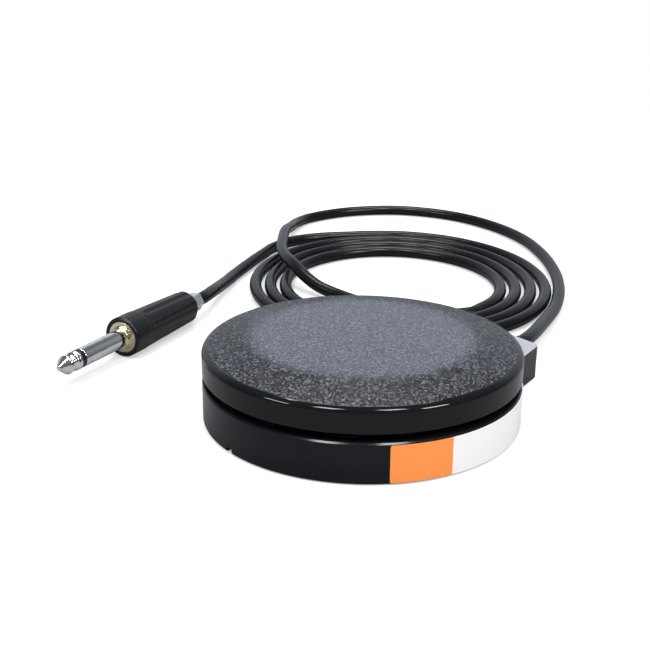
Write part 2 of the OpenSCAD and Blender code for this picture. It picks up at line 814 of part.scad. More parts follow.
module switch_button() {
    color([0.75, 0.12, 0.1]) translate([button_x, 0, 0]) {
        post(button_r, button_foot, button_top);
        post(flange_r, flange_z, flange_z + flange_t);
    }
}

module lever_pin() {
    color([0.78, 0.79, 0.8]) bar_y(pin_r, pin_x, pin_z, -half_w + film, half_w - film);
}

module switch_lever() {
    color([0.82, 0.83, 0.84]) translate([pin_x, 0, pin_z]) difference() {
        union() {
            bar_y(barrel_r, 0, 0, -lever_w / 2, lever_w / 2);
            rotate([0, -lever_rest, 0])
                box([0, -lever_w / 2, -lever_t / 2],
                    [lever_arm + lever_tip_over, lever_w / 2, lever_t / 2]);
        }
        bar_y(pin_r + pin_play, 0, 0, -lever_w, lever_w);
    }
}

// Half section of the cap's shell
module cap_section() {
    polygon(concat([[skirt_r, cap_z], [base_r - rim_bevel / 2, cap_z],
        [base_r, cap_z + rim_bevel / 2]],
        [for (i = [0 : arc_steps]) let (a = 90 * i / arc_steps)
            [base_r - shoulder_w * (1 - cos(a)), band_z + shoulder_h * sin(a)]],
        [for (i = [0 : crown_steps]) let (u = 1 - i / crown_steps)
            [middle_r * u, slope_z + crown_h * (1 - u * u)]],
        [[0, ceiling_z], [middle_r, slope_z - cap_t], [skirt_r, skirt_z]]));
}

module pedal_cap() {
    color([0.05, 0.05, 0.055]) difference() {
        union() {
            rotate_extrude() cap_section();
            intersection() {
                union() {
                    at_guides() {
                        post(post_d / 2, post_z, apex_z);
                        post(collar_r, collar_z, apex_z);
                        post(seat_r, seat_z, apex_z);
                    }
                    for (i = [0 : guides - 1])
                        rotate([0, 0, guide_first + 360 * i / guides])
                            box([0, -rib_t / 2, ceiling_z - rib_h], [guide_r, rib_t / 2, apex_z]);
                    post(actuator_root_r, ceiling_z - rib_h / 2, apex_z);
                    post(actuator_r, actuator_z, apex_z);
                    translate([0, 0, actuator_z]) sphere(r = actuator_r);
                }
                rotate_extrude() polygon([[0, pad_t], [skirt_r, pad_t],
                    [skirt_r, skirt_z + cap_t / 2], [middle_r, slope_z - cap_t / 2],
                    [0, apex_z - cap_t / 2]]);
            }
        }
        at_guides() post(screw_d / 2 + film, post_z - over, post_z + screw_l + gap);
    }
}

module cap_screws() {
    color([0.72, 0.73, 0.75]) at_guides() difference() {
        union() {
            post(screw_d / 2, post_z - washer_t - head_h / 2, post_z + screw_l);
            post(head_d / 2, post_z - washer_t - head_h, post_z - washer_t - film);
        }
        mirror([0, 0, 1]) drive_slot(head_d / 2, head_h + washer_t - post_z);
    }
}

module cap_washers() {
    color([0.8, 0.8, 0.82]) at_guides() difference() {
        post(washer_d / 2, post_z - washer_t, post_z - film);
        post(screw_d / 2 + gap, post_z - washer_t - over, post_z + over);
    }
}

module return_springs() {
    color([0.7, 0.72, 0.74]) at_guides() tube(spring_path, spring_wire, 6);
}

module cord_run() {
    color([0.08, 0.08, 0.09]) tube(run_path, cord_d, cord_sides);
}

module cord_coil() {
    color([0.08, 0.08, 0.09]) tube(coil_path, cord_d, coil_sides);
}

module cord_tail() {
    color([0.08, 0.08, 0.09]) tube(tail_path, cord_d, cord_sides);
}

// Frame of the plug: its tip at the origin and its axis along +Z
module at_plug() {
    translate(plug_rear_point - plug_l * plug_axis) rotate([0, 0, plug_turn])
        rotate([0, 90, 0]) children();
}

// Round tube between two places on the plug's axis
module sleeve_tube(r_out, r_in, s0, s1) {
    difference() {
        post(r_out, s0, s1);
        post(r_in, s0 - over, s1 + over);
    }
}

module plug_tip() {
    color([0.8, 0.8, 0.82]) at_plug() rotate_extrude() polygon([[0, 0], [nose_flat_r, 0],
        [jack_r, nose_l], [jack_r, nose_l + nose_edge], [neck_r, neck_l],
        [neck_r + nose_edge, neck_l + nose_edge], [jack_r, ring_l - nose_edge],
        [jack_r, ring_l],
        [rod_r, ring_l], [rod_r, inner_s + lug_w], [0, inner_s + lug_w]]);
}

module plug_insulator() {
    color([0.05, 0.05, 0.05]) at_plug() difference() {
        union() {
            post(jack_r, ring_l + film, insulator_l);
            post(tube_r, ring_l + film, inner_s + lug_t);
        }
        post(rod_r + film, 0, inner_s + lug_w);
    }
}

module plug_sleeve() {
    color([0.8, 0.8, 0.82]) at_plug() difference() {
        union() {
            post(jack_r, insulator_l + film, contact_l - gap);
            post(shank_r, contact_l - over, inner_s - film);
        }
        post(tube_r + film, insulator_l, inner_s + over);
    }
}

module plug_collar() {
    color([0.83, 0.68, 0.35]) at_plug() difference() {
        union() {
            post(collar_d / 2, contact_l, handle_s + collar_recess + film);
            post(collar_step_r, handle_s + collar_recess, collar_back_s - film);
            post(collar_thread_r, collar_back_s - collar_step_l / 2, inner_s);
        }
        post(shank_r + film, contact_l - over, inner_s + over);
    }
}

module plug_handle() {
    ring_end = handle_s + handle_ring_l;
    rib_end = handle_step_s;
    core_r = handle_d / 2 - handle_rib_h;
    color([0.07, 0.07, 0.075]) at_plug() difference() {
        union() {
            post(handle_d / 2, handle_s, ring_end);
            translate([0, 0, ring_end - over]) cylinder(r1 = core_r, r2 = core_r - handle_taper,
                h = rib_end - ring_end + over);
            translate([0, 0, rib_end - film]) cylinder(r1 = core_r - handle_taper,
                r2 = handle_rear_r, h = handle_chamfer + film);
            intersection() {
                translate([0, 0, ring_end]) cylinder(r1 = handle_d / 2,
                    r2 = handle_d / 2 - handle_taper, h = rib_end - ring_end);
                for (i = [0 : handle_ribs - 1])
                    rotate([0, 0, 360 * i / handle_ribs])
                        translate([core_r - handle_taper - handle_rib_h, -handle_rib_w / 2,
                            ring_end - over])
                            cube([handle_d, handle_rib_w, rib_end - ring_end + 2 * over]);
            }
        }
        post(handle_bore_r, handle_s - over, handle_step_s);
        post(collar_step_r + gap / 2, handle_s - over, collar_back_s);
        post(ferrule_r + film, handle_s, handle_end + over);
    }
}

module plug_liner() {
    color([0.85, 0.84, 0.78]) at_plug() sleeve_tube(handle_bore_r - liner_gap,
        handle_bore_r - liner_gap - liner_t, inner_s + gap, inner_s + gap + liner_l);
}

module plug_ferrule() {
    color([0.8, 0.8, 0.82]) at_plug() difference() {
        union() {
            translate([0, 0, handle_step_s - lug_t])
                cylinder(r = ferrule_r, h = plug_l - handle_step_s + lug_t, $fn = ferrule_sides);
            post(ferrule_r + lug_t, handle_step_s - lug_t - film, handle_step_s - film);
        }
        post(cord_r + film, handle_step_s - lug_t - over, plug_l + over);
    }
}

// Ground lug: an end ring on the sleeve, a strip and a crimp round the jacket
module ground_lug() {
    crimp_s = plug_l - cord_in_l + lug_t;
    color([0.78, 0.78, 0.8]) at_plug() {
        sleeve_tube(collar_thread_r - liner_t - liner_gap, tube_r + film, inner_s + film,
            inner_s + lug_t);
        box([cord_r + film, -lug_w / 2, inner_s + lug_t / 2],
            [cord_r + lug_t, lug_w / 2, crimp_s + lug_t]);
        sleeve_tube(cord_r + lug_t, cord_r + film, crimp_s, crimp_s + crimp_l);
    }
}

module tip_lug() {
    color([0.78, 0.78, 0.8]) at_plug() difference() {
        union() {
            post(tube_r, inner_s + lug_t + film, inner_s + 2 * lug_t);
            box([-tube_r, -lug_w / 4, inner_s + lug_t + film],
                [-tube_r + lug_t, lug_w / 4, inner_s + 2 * lug_w]);
        }
        post(rod_r + film, inner_s, inner_s + lug_w + over);
    }
}

module cord_in_plug() {
    color([0.08, 0.08, 0.09]) at_plug() post(cord_r, plug_l - cord_in_l, plug_l);
}

base_housing();
nonslip_pad();
side_label();
cord_grommet();
cord_in_base();
cord_clamp();
clamp_screws();
common_lead();
signal_lead();
switch_case();
switch_cover();
switch_screws();
common_terminal();
open_terminal();
closed_terminal();
switch_blade();
switch_button();
lever_pin();
switch_lever();
pedal_cap();
cap_screws();
cap_washers();
return_springs();
cord_run();
cord_coil();
cord_tail();
plug_tip();
plug_insulator();
plug_sleeve();
plug_collar();
plug_handle();
plug_liner();
plug_ferrule();
ground_lug();
tip_lug();
cord_in_plug();
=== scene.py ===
"""A round foot pedal switch with its coiled cord and phone plug, dressed and lit."""
import logging
import math
from dataclasses import dataclass, field
from enum import Enum
from itertools import pairwise
from typing import Callable, Dict, List, Sequence, Tuple, Union

import bpy
from mathutils import Matrix, Vector


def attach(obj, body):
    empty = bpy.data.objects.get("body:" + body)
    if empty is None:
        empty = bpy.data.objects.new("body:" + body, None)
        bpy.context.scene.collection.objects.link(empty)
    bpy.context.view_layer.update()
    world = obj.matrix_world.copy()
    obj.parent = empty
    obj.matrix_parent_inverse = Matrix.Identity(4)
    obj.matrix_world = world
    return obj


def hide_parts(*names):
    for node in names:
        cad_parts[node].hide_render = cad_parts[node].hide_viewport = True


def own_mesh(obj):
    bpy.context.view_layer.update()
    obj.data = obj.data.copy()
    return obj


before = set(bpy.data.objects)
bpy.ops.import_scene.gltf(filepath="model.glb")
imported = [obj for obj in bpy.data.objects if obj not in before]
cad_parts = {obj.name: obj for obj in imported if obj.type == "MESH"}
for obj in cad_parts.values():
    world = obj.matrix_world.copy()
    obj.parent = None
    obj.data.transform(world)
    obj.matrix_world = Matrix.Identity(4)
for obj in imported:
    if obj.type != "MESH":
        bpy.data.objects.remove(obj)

LOG = logging.getLogger("foot_pedal")
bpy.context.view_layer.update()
MM = 0.001
MERGE = 0.000001
COPLANAR = 0.3

Point = Tuple[float, float, float]
Station = Tuple[float, float]
Colour = Tuple[float, float, float]


class Body(Enum):
    """The bodies that new pieces ride on."""

    BASE = "base"
    PEDAL = "pedal"


class Slot(Enum):
    """The record's material slots, named along with new pieces."""

    BASE = "base_plastic"
    CAP = "cap_plastic"
    LABEL = "label_film"
    CORD = "cord_jacket"
    GROMMET = "soft_rubber"
    SPRING = "spring_steel"
    CHROME = "plug_chrome"
    INSULATION = "plug_insulation"
    COLLAR = "collar_brass"
    HANDLE = "handle_plastic"


class Socket:
    """A node's output that takes part in Python expressions."""

    def __init__(self, graph: "Graph", output: Union[bpy.types.NodeSocket, None]) -> None:
        """Wraps an output.

        Args:
            graph: The graph that the output belongs to.
            output: The output itself, or None for a node that has none.
        """
        self.graph = graph
        self.output = output

    def math(self, operation: str, *others: "Value") -> "Socket":
        """Adds a Math node on this value.

        Args:
            operation: The Math node's operation.
            others: Its further values.

        Returns:
            The result.
        """
        values = dict(enumerate((self, *others)))
        return self.graph.node("ShaderNodeMath", {"operation": operation}, values)

    def _reflected(self, operation: str, other: float) -> "Socket":
        """Adds a Math node with a plain number as its first value."""
        values = {0: other, 1: self}
        return self.graph.node("ShaderNodeMath", {"operation": operation}, values)

    def __add__(self, other: "Value") -> "Socket":
        """Returns self + other."""
        return self.math("ADD", other)

    def __radd__(self, other: float) -> "Socket":
        """Returns other + self."""
        return self._reflected("ADD", other)

    def __sub__(self, other: "Value") -> "Socket":
        """Returns self - other."""
        return self.math("SUBTRACT", other)

    def __rsub__(self, other: float) -> "Socket":
        """Returns other - self."""
        return self._reflected("SUBTRACT", other)

    def __mul__(self, other: "Value") -> "Socket":
        """Returns self * other."""
        return self.math("MULTIPLY", other)

    def __rmul__(self, other: float) -> "Socket":
        """Returns other * self."""
        return self._reflected("MULTIPLY", other)

    def __pow__(self, other: "Value") -> "Socket":
        """Returns self ** other."""
        return self.math("POWER", other)

    def __rpow__(self, other: float) -> "Socket":
        """Returns other ** self."""
        return self._reflected("POWER", other)

    def step(self, low: float, high: float) -> "Socket":
        """Adds a soft step on this value.

        Args:
            low: The value up to which the step is 0.
            high: The value from which it is 1.

        Returns:
            The step.
        """
        settings = {"interpolation_type": "SMOOTHSTEP"}
        values = {"Value": self, "From Min": low, "From Max": high}
        return self.graph.node("ShaderNodeMapRange", settings, values)


Value = Union[Socket, float, int]


class Graph:
    """The node tree of one material or of the world."""

    def __init__(self, tree: bpy.types.NodeTree) -> None:
        """Empties the tree and keeps it.

        Args:
            tree: The node tree to fill.
        """
        self.tree = tree
        tree.nodes.clear()

    def node(self, kind: str, settings: Dict[str, object], values: Dict[object, object],
             output: Union[int, str] = 0) -> Socket:
        """Adds a node.

        Args:
            kind: The node's type.
            settings: Its properties, which are set first.
            values: A number, colour or Socket for each named or numbered input.
            output: The output that is wanted.

        Returns:
            That output.
        """
        made = self.tree.nodes.new(kind)
        for name, value in settings.items():
            setattr(made, name, value)
        for name, value in values.items():
            if isinstance(value, Socket):
                self.tree.links.new(value.output, made.inputs[name])
            else:
                made.inputs[name].default_value = value
        return Socket(self, made.outputs[output] if len(made.outputs) else None)

    def place(self, turn: Point = (0, 0, 0), scale: Point = (1, 1, 1)) -> Socket:
        """Adds Object coordinates with a Mapping node on them.

        Args:
            turn: Degrees to turn by, after the scale.
            scale: Factors to scale by.

        Returns:
            The mapped coordinates.
        """
        where = self.node("ShaderNodeTexCoord", {}, {}, "Object")
        angles = tuple(math.radians(a) for a in turn)
        return self.node("ShaderNodeMapping", {}, {"Vector": where, "Rotation": angles,
                                                   "Scale": scale})

    def axes(self, vector: Socket) -> List[Socket]:
        """Splits a vector.

        Args:
            vector: The vector.

        Returns:
            Its X, Y and Z.
        """
        split = self.node("ShaderNodeSeparateXYZ", {}, {"Vector": vector})
        outputs = split.output.node.outputs
        return [Socket(self, outputs[i]) for i in range(3)]

    def noise(self, where: Socket, size: float, detail: float = 2.0,
              roughness: float = 0.5) -> Socket:
        """Returns soft noise whose features are about the given size, in metres."""
        values = {"Vector": where, "Scale": 1.0 / size, "Detail": detail, "Roughness": roughness}
        return self.node("ShaderNodeTexNoise", {}, values, "Fac")

    def cells(self, where: Socket, size: float) -> Socket:
        """Returns the distance field of cells about the given size across, in metres."""
        values = {"Vector": where, "Scale": 1.0 / size}
        return self.node("ShaderNodeTexVoronoi", {}, values, "Distance")

    def tones(self, share: Value, first: Colour, second: Colour) -> Socket:
        """Returns a colour between two plain ones, by share."""
        return self.blend(share, (*first, 1), (*second, 1))

    def blend(self, share: Value, first: object, second: object) -> Socket:
        """Returns a colour between two, by share."""
        values = {0: share, 6: first, 7: second}
        return self.node("ShaderNodeMix", {"data_type": "RGBA"}, values, 2)

    def bump(self, height: Socket, depth: float, under: Union[Socket, None] = None) -> Socket:
        """Returns a normal that a height field disturbs.

        Args:
            height: The field, from 0 to 1.
            depth: Its full height in metres.
            under: A normal to start from, if any.

        Returns:
            The disturbed normal.
        """
        values: Dict[object, object] = {"Height": height, "Distance": depth, "Strength": 1.0}
        if under is not None:
            values["Normal"] = under
        return self.node("ShaderNodeBump", {}, values)

    def surface(self, values: Dict[object, object]) -> None:
        """Ends the material in a Principled shader with the given inputs."""
        shader = self.node("ShaderNodeBsdfPrincipled", {}, values)
        self.node("ShaderNodeOutputMaterial", {}, {"Surface": shader})


class Finish:
    """The base of all finishes, each of which makes one material. Sizes are in metres."""

    def dress(self, graph: Graph) -> None:
        """Fills the material's node tree."""
        raise NotImplementedError

    def material(self, name: str) -> bpy.types.Material:
        """Makes the material.

        Args:
            name: Its name.

        Returns:
            The material.
        """
        made = bpy.data.materials.get(name) or bpy.data.materials.new(name)
        made.use_nodes = True
        self.dress(Graph(made.node_tree))
        return made


@dataclass(frozen=True)
class Moulded(Finish):
    """Moulded plastic with a faint ripple, a little grain and uneven gloss."""

    colour: Colour
    roughness: float = 0.25
    ripple: float = 0.000004
    grain: float = 0.0000015
    tint: float = 1.35
    shine: float = 0.5
    ripple_size: float = 0.011
    grain_size: float = 0.00035
    smear_size: float = 0.006

    def tone(self, graph: Graph, share: Socket) -> Socket:
        """Returns the colour, a little paler where share is high."""
        paler = tuple(min(1.0, c * self.tint) for c in self.colour)
        return graph.tones(share, self.colour, paler)

    def dress(self, graph: Graph) -> None:
        """Fills the tree: a rippled and grained surface with smears in its gloss.

        Args:
            graph: The tree to fill.
        """
        where = graph.place()
        broad = graph.noise(where, self.ripple_size, 2.0)
        fine = graph.noise(where, self.grain_size, 3.0, 0.6)
        smear = graph.noise(graph.place((0, 0, 35), (1, 1, 2.5)), self.smear_size, 4.0, 0.6)
        under = graph.bump(broad, self.ripple)
        graph.surface({
            "Base Color": self.tone(graph, broad * 0.6 + fine * 0.4),
            "Roughness": smear.step(0.3, 0.75) * (self.roughness * 0.35) + self.roughness * 0.85,
            "Normal": graph.bump(fine, self.grain, under),
            "Specular IOR Level": self.shine})


@dataclass(frozen=True)
class LedgeWithPaintedReflection(Moulded):
    """Moulded plastic whose outlet block has a pale top, which is a painted reflection."""

    ledge: Tuple[float, float] = (0.01085, 0.0111)
    edge: float = 0.0001
    from_y: float = 0.0445
    # The colour of the painted reflection on the outlet block's top.
    painted_reflection: Colour = (0.27, 0.275, 0.315)

    def tone(self, graph: Graph, share: Socket) -> Socket:
        """Makes the colour, with a painted reflection that makes the outlet block's top pale.

        Args:
            graph: The tree that it belongs to.
            share: How pale the plain plastic is, from 0 to 1.

        Returns:
            The colour.
        """
        _, y, z = graph.axes(graph.place())
        low, high = self.ledge
        # The painted reflection's mask: the heights of the block's top, from from_y outwards.
        top = (z.step(low, low + self.edge) * (1 - z.step(high, high + self.edge))
               * y.step(self.from_y, self.from_y + 4 * self.edge))
        return graph.blend(top, super().tone(graph, share), (*self.painted_reflection, 1))


@dataclass(frozen=True)
class GrainedCap(Finish):
    """Black plastic with a polished rim and a pebbled, leather-like grain on top, whose crests are
    painted lighter as glints and whose middle plateau is painted paler as a reflection.
    """

    edge: float = 0.04585
    fade: float = 0.0007
    top: Tuple[float, float] = (0.0205, 0.0213)
    ring: Tuple[float, float] = (0.0296, 0.0366)
    squash: float = 0.35
    push: Tuple[float, float] = (900.0, 0.0006)
    pebble: float = 0.0011
    worm: float = 0.0006
    depth: float = 0.0002
    ripple: float = 0.000004
    ripple_size: float = 0.012
    smear_size: float = 0.008
    shine: float = 0.24
    rim: Tuple[Colour, Colour] = ((0.004, 0.0042, 0.005), (0.0065, 0.0068, 0.008))
    # Valley and crest tones. On the slope the crests' pale tone is a painted glint; both plateau
    # tones are raised as a painted reflection.
    slope_tones_with_glints: Tuple[Colour, Colour] = ((0.0015, 0.002, 0.0035), (0.082, 0.089, 0.111))
    plateau_tones_with_reflection: Tuple[Colour, Colour] = ((0.046, 0.052, 0.068), (0.135, 0.147, 0.184))

    def _height(self, graph: Graph) -> Socket:
        """Makes the grain's height: round pebbles with winding ridges between them.

        Args:
            graph: The tree that it belongs to.

        Returns:
            The height, from 0 to 1.
        """
        flat = graph.place((0, 0, 20), (1, 1, self.squash))
        scale, reach = self.push
        push = graph.node("ShaderNodeTexNoise", {}, {"Vector": flat, "Scale": scale,
                                                     "Detail": 2.0}, "Color")
        shift = graph.node("ShaderNodeVectorMath", {"operation": "MULTIPLY_ADD"},
                           {0: push, 1: (reach, reach, reach), 2: flat})
        hills = 1 - graph.cells(shift, self.pebble).step(0.1, 0.6)
        worms = graph.noise(shift, self.worm, 1.0, 0.5).step(0.4, 0.6)
        return hills * 0.45 + worms * 0.55

    def dress(self, graph: Graph) -> None:
        """Fills the tree: the grain inside the rim's edge, with painted glints and a painted
        reflection in its colour, and the polish outside it.

        Args:
            graph: The tree to fill.
        """
        where = graph.place()
        x, y, z = graph.axes(where)
        radius = (x * x + y * y) ** 0.5
        mask = (1 - radius.step(self.edge - self.fade, self.edge)) * z.step(*self.top)
        height = self._height(graph)
        broad = graph.noise(where, self.ripple_size, 2.0)
        # The crests take the lighter tone as painted glints, and inside the ring's radii a painted
        # reflection lifts the plateau's tones.
        crest = height.step(0.47, 0.74)
        grain = graph.blend(radius.step(*self.ring), graph.tones(crest, *self.plateau_tones_with_reflection),
                            graph.tones(crest, *self.slope_tones_with_glints))
        smear = graph.noise(graph.place((0, 0, 60), (1, 2, 1)), self.smear_size, 4.0, 0.6)
        gloss = 0.045 + smear.step(0.3, 0.8) * 0.03
        grained = 0.25 + height * 0.07
        graph.surface({
            "Base Color": graph.blend(mask, graph.tones(broad, *self.rim), grain),
            "Roughness": gloss + (grained - gloss) * mask,
            "Normal": graph.bump(height * mask, self.depth, graph.bump(broad, self.ripple)),
            "Specular IOR Level": self.shine})


@dataclass(frozen=True)
class Jacket(Finish):
    """A cord's smooth jacket, with slow changes of gloss along it."""

    colour: Colour = (0.004, 0.0045, 0.0055)
    tint: float = 1.7
    wave: float = 0.00003
    wave_size: float = 0.02
    grain: float = 0.000006
    grain_size: float = 0.0004
    dust_size: float = 0.0011
    shine: float = 0.2

    def dress(self, graph: Graph) -> None:
        """Fills the tree: slow waves and specks of dust on a smooth jacket.

        Args:
            graph: The tree to fill.
        """
        where = graph.place()
        slow = graph.noise(where, self.wave_size, 2.0)
        fine = graph.noise(where, self.grain_size, 3.0, 0.6)
        dust = graph.noise(where, self.dust_size, 5.0, 0.7).step(0.66, 0.78)
        paler = tuple(c * self.tint for c in self.colour)
        graph.surface({
            "Base Color": graph.tones(slow * 0.5 + dust * 0.4, self.colour, paler),
            "Roughness": 0.2 + slow * 0.12 + dust * 0.12,
            "Normal": graph.bump(fine, self.grain, graph.bump(slow, self.wave)),
            "Specular IOR Level": self.shine})


@dataclass(frozen=True)
class Rubber(Finish):
    """Matt rubber with a fine cast grain and a little dust."""

    colour: Colour = (0.022, 0.022, 0.022)
    cell: float = 0.0009
    depth: float = 0.00004
    tint: float = 2.2
    dust_size: float = 0.004

    def dress(self, graph: Graph) -> None:
        """Fills the tree: cast cells with dust on them.

        Args:
            graph: The tree to fill.
        """
        where = graph.place()
        grain = graph.cells(where, self.cell)
        dust = graph.noise(where, self.dust_size, 6.0, 0.7)
        pale = tuple(c * self.tint for c in self.colour)
        graph.surface({
            "Base Color": graph.tones(dust.step(0.45, 0.75), self.colour, pale),
            "Roughness": 0.68 + dust * 0.2,
            "Normal": graph.bump(grain, self.depth)})


@dataclass(frozen=True)
class Plated(Finish):
    """Bright metal with fine lines and a faint tarnish."""

    colour: Colour
    roughness: float = 0.14
    turn: Point = (0.0, 0.0, 0.0)
    stretch: Point = (1.0, 1.0, 1.0)
    tarnish: float = 0.82
    line: float = 0.0000012
    line_size: float = 0.00012
    spot_size: float = 0.003

    def dress(self, graph: Graph) -> None:
        """Fills the tree: fine lines in the metal, with spots of tarnish.

        Args:
            graph: The tree to fill.
        """
        lines = graph.noise(graph.place(self.turn, self.stretch), self.line_size, 3.0, 0.6)
        spots = graph.noise(graph.place(), self.spot_size, 5.0, 0.65)
        dull = tuple(c * self.tarnish for c in self.colour)
        graph.surface({
            "Base Color": graph.tones(spots.step(0.4, 0.75), self.colour, dull),
            "Metallic": 1.0,
            "Roughness": self.roughness * 0.75 + lines * (self.roughness * 0.5)
                         + spots.step(0.5, 0.8) * 0.05,
            "Normal": graph.bump(lines, self.line)})


@dataclass(frozen=True)
class PrintedFilm(Finish):
    """A glossy label in two colours that meet along an upright line.

    The seam is in degrees round the base, and its blur in radians.
    """

    seam: float = -8.9
    blur: float = 0.0008
    grain: float = 0.000006
    grain_size: float = 0.0006
    soil_size: float = 0.006
    soil: Colour = (0.45, 0.42, 0.38)
    warm: Colour = (0.98, 0.29, 0.058)
    pale: Colour = (0.9, 0.905, 0.91)

    def dress(self, graph: Graph) -> None:
        """Fills the tree: two colours that meet at the seam, lightly soiled.

        Args:
            graph: The tree to fill.
        """
        where = graph.place()
        x, y, _ = graph.axes(where)
        angle = y.math("ARCTAN2", x)
        seam = math.radians(self.seam)
        side = angle.step(seam - self.blur, seam + self.blur)
        fibre = graph.noise(where, self.grain_size, 4.0, 0.6)
        soil = graph.noise(where, self.soil_size, 3.0, 0.6).step(0.55, 0.85)
        print_tone = graph.tones(side, self.warm, self.pale)
        worn = graph.blend(soil * 0.1 + fibre * 0.05, print_tone, (*self.soil, 1))
        graph.surface({
            "Base Color": worn,
            "Roughness": 0.34 + fibre * 0.12,
            "Normal": graph.bump(fibre, self.grain)})


class Bench:
    """Modelling moves that the pieces share. Lengths are in millimetres."""

    @staticmethod
    def clear() -> None:
        """Leaves edit mode and deselects everything."""
        if bpy.context.object and bpy.context.object.mode != "OBJECT":
            bpy.ops.object.mode_set(mode="OBJECT")
        bpy.ops.object.select_all(action="DESELECT")

    @staticmethod
    def focus(piece: bpy.types.Object) -> None:
        """Selects one piece alone and makes it active.

        Args:
            piece: The piece.
        """
        Bench.clear()
        piece.select_set(True)
        bpy.context.view_layer.objects.active = piece

    @staticmethod
    def edit(piece: bpy.types.Object, mode: str = "VERT") -> None:
        """Opens a piece in edit mode with nothing selected.

        Args:
            piece: The piece.
            mode: What edit mode selects: "VERT", "EDGE" or "FACE".
        """
        Bench.focus(piece)
        bpy.ops.object.mode_set(mode="EDIT")
        bpy.ops.mesh.select_mode(type=mode)
        bpy.ops.mesh.select_all(action="DESELECT")

    @staticmethod
    def pick(piece: bpy.types.Object, kind: str, test: Callable[[object], bool]) -> None:
        """Selects the elements of a piece that pass a test and stays in edit mode.

        Args:
            piece: The piece.
            kind: "vertices" or "polygons".
            test: Says whether an element is wanted.
        """
        Bench.edit(piece, {"vertices": "VERT", "polygons": "FACE"}[kind])
        bpy.ops.object.mode_set(mode="OBJECT")
        for element in getattr(piece.data, kind):
            element.select = bool(test(element))
        bpy.ops.object.mode_set(mode="EDIT")

    @staticmethod
    def done(piece: bpy.types.Object) -> bpy.types.Object:
        """Leaves edit mode and returns the piece."""
        bpy.ops.object.mode_set(mode="OBJECT")
        return piece

    @staticmethod
    def settle() -> None:
        """Applies the active piece's place, turn and scale to its mesh."""
        bpy.ops.object.transform_apply(location=True, rotation=True, scale=True)

    @staticmethod
    def draw_up(height: float) -> None:
        """Extrudes what is selected upwards by a height in millimetres."""
        bpy.ops.mesh.extrude_region_move(TRANSFORM_OT_translate={"value": (0, 0, height * MM)})

    @staticmethod
    def add(name: str, data: object) -> bpy.types.Object:
        """Puts new data into the scene.

        Args:
            name: The object's name.
            data: Its mesh, curve, camera or lamp.

        Returns:
            The object.
        """
        made = bpy.data.objects.new(name, data)
        bpy.context.scene.collection.objects.link(made)
        return made

    @staticmethod
    def turn(name: str, stations: Sequence[Station], segments: int = 128,
             ring: bool = False) -> bpy.types.Object:
        """Turns a piece about Z by extruding and scaling a circle from station to station.

        Args:
            name: The piece's name.
            stations: Radii and heights in millimetres. A radius of 0 may start or end the list.
            segments: Sides of the circle.
            ring: Whether the last station closes on the first.

        Returns:
            The closed piece.
        """
        first_pole = stations[0][1] if stations[0][0] == 0 else None
        last_pole = stations[-1][1] if stations[-1][0] == 0 else None
        rings = [s for s in stations if s[0] > 0]
        Bench.clear()
        radius, height = rings[0]
        bpy.ops.mesh.primitive_circle_add(vertices=segments, radius=radius * MM,
                                          location=(0, 0, height * MM), fill_type="NOTHING")
        piece = bpy.context.active_object
        piece.name = piece.data.name = name
        Bench.settle()
        bpy.ops.object.mode_set(mode="EDIT")
        bpy.ops.mesh.select_mode(type="VERT")
        bpy.ops.mesh.select_all(action="SELECT")
        for (r0, z0), (r1, z1) in pairwise(rings):
            Bench.draw_up(z1 - z0)
            if r1 != r0:
                bpy.ops.transform.resize(value=(r1 / r0, r1 / r0, 1),
                                         center_override=(0, 0, z1 * MM))
        if last_pole is not None:
            Bench.draw_up(last_pole - rings[-1][1])
            bpy.ops.mesh.merge(type="CENTER")
        if first_pole is not None:
            Bench.pick(piece, "vertices", lambda v: v.index < segments)
            Bench.draw_up(first_pole - rings[0][1])
            bpy.ops.mesh.merge(type="CENTER")
        if not ring and first_pole is None and last_pole is None:
            bpy.ops.mesh.select_all(action="DESELECT")
            bpy.ops.mesh.select_mode(type="EDGE")
            bpy.ops.mesh.select_non_manifold(extend=False)
            bpy.ops.mesh.fill_holes(sides=0)
        bpy.ops.mesh.select_all(action="SELECT")
        bpy.ops.mesh.remove_doubles(threshold=MERGE)
        bpy.ops.mesh.normals_make_consistent(inside=False)
        return Bench.done(piece)

    @staticmethod
    def modify(piece: bpy.types.Object, kind: str, **settings: object) -> None:
        """Adds a modifier and applies it.

        Args:
            piece: The piece.
            kind: The modifier's type.
            settings: Its settings by name.
        """
        Bench.focus(piece)
        modifier = piece.modifiers.new(kind.title(), kind)
        for name, value in settings.items():
            setattr(modifier, name, value)
        bpy.ops.object.modifier_apply(modifier=modifier.name)

    @staticmethod
    def smooth(piece: bpy.types.Object, angle: float = 32.0) -> bpy.types.Object:
        """Shades a piece smooth, with flats that stay flat.

        Args:
            piece: The piece.
            angle: The sharpest edge to smooth, in degrees.

        Returns:
            The piece.
        """
        Bench.focus(piece)
        bpy.ops.object.shade_smooth_by_angle(angle=math.radians(angle))
        Bench.modify(piece, "WEIGHTED_NORMAL", keep_sharp=True, weight=60)
        return piece

    @staticmethod
    def soften(piece: bpy.types.Object, width: float, segments: int = 2,
               angle: float = 30.0) -> None:
        """Bevels the edges of a piece that are sharper than an angle; width in millimetres."""
        Bench.modify(piece, "BEVEL", width=width * MM, segments=segments, limit_method="ANGLE",
                     angle_limit=math.radians(angle), use_clamp_overlap=True)

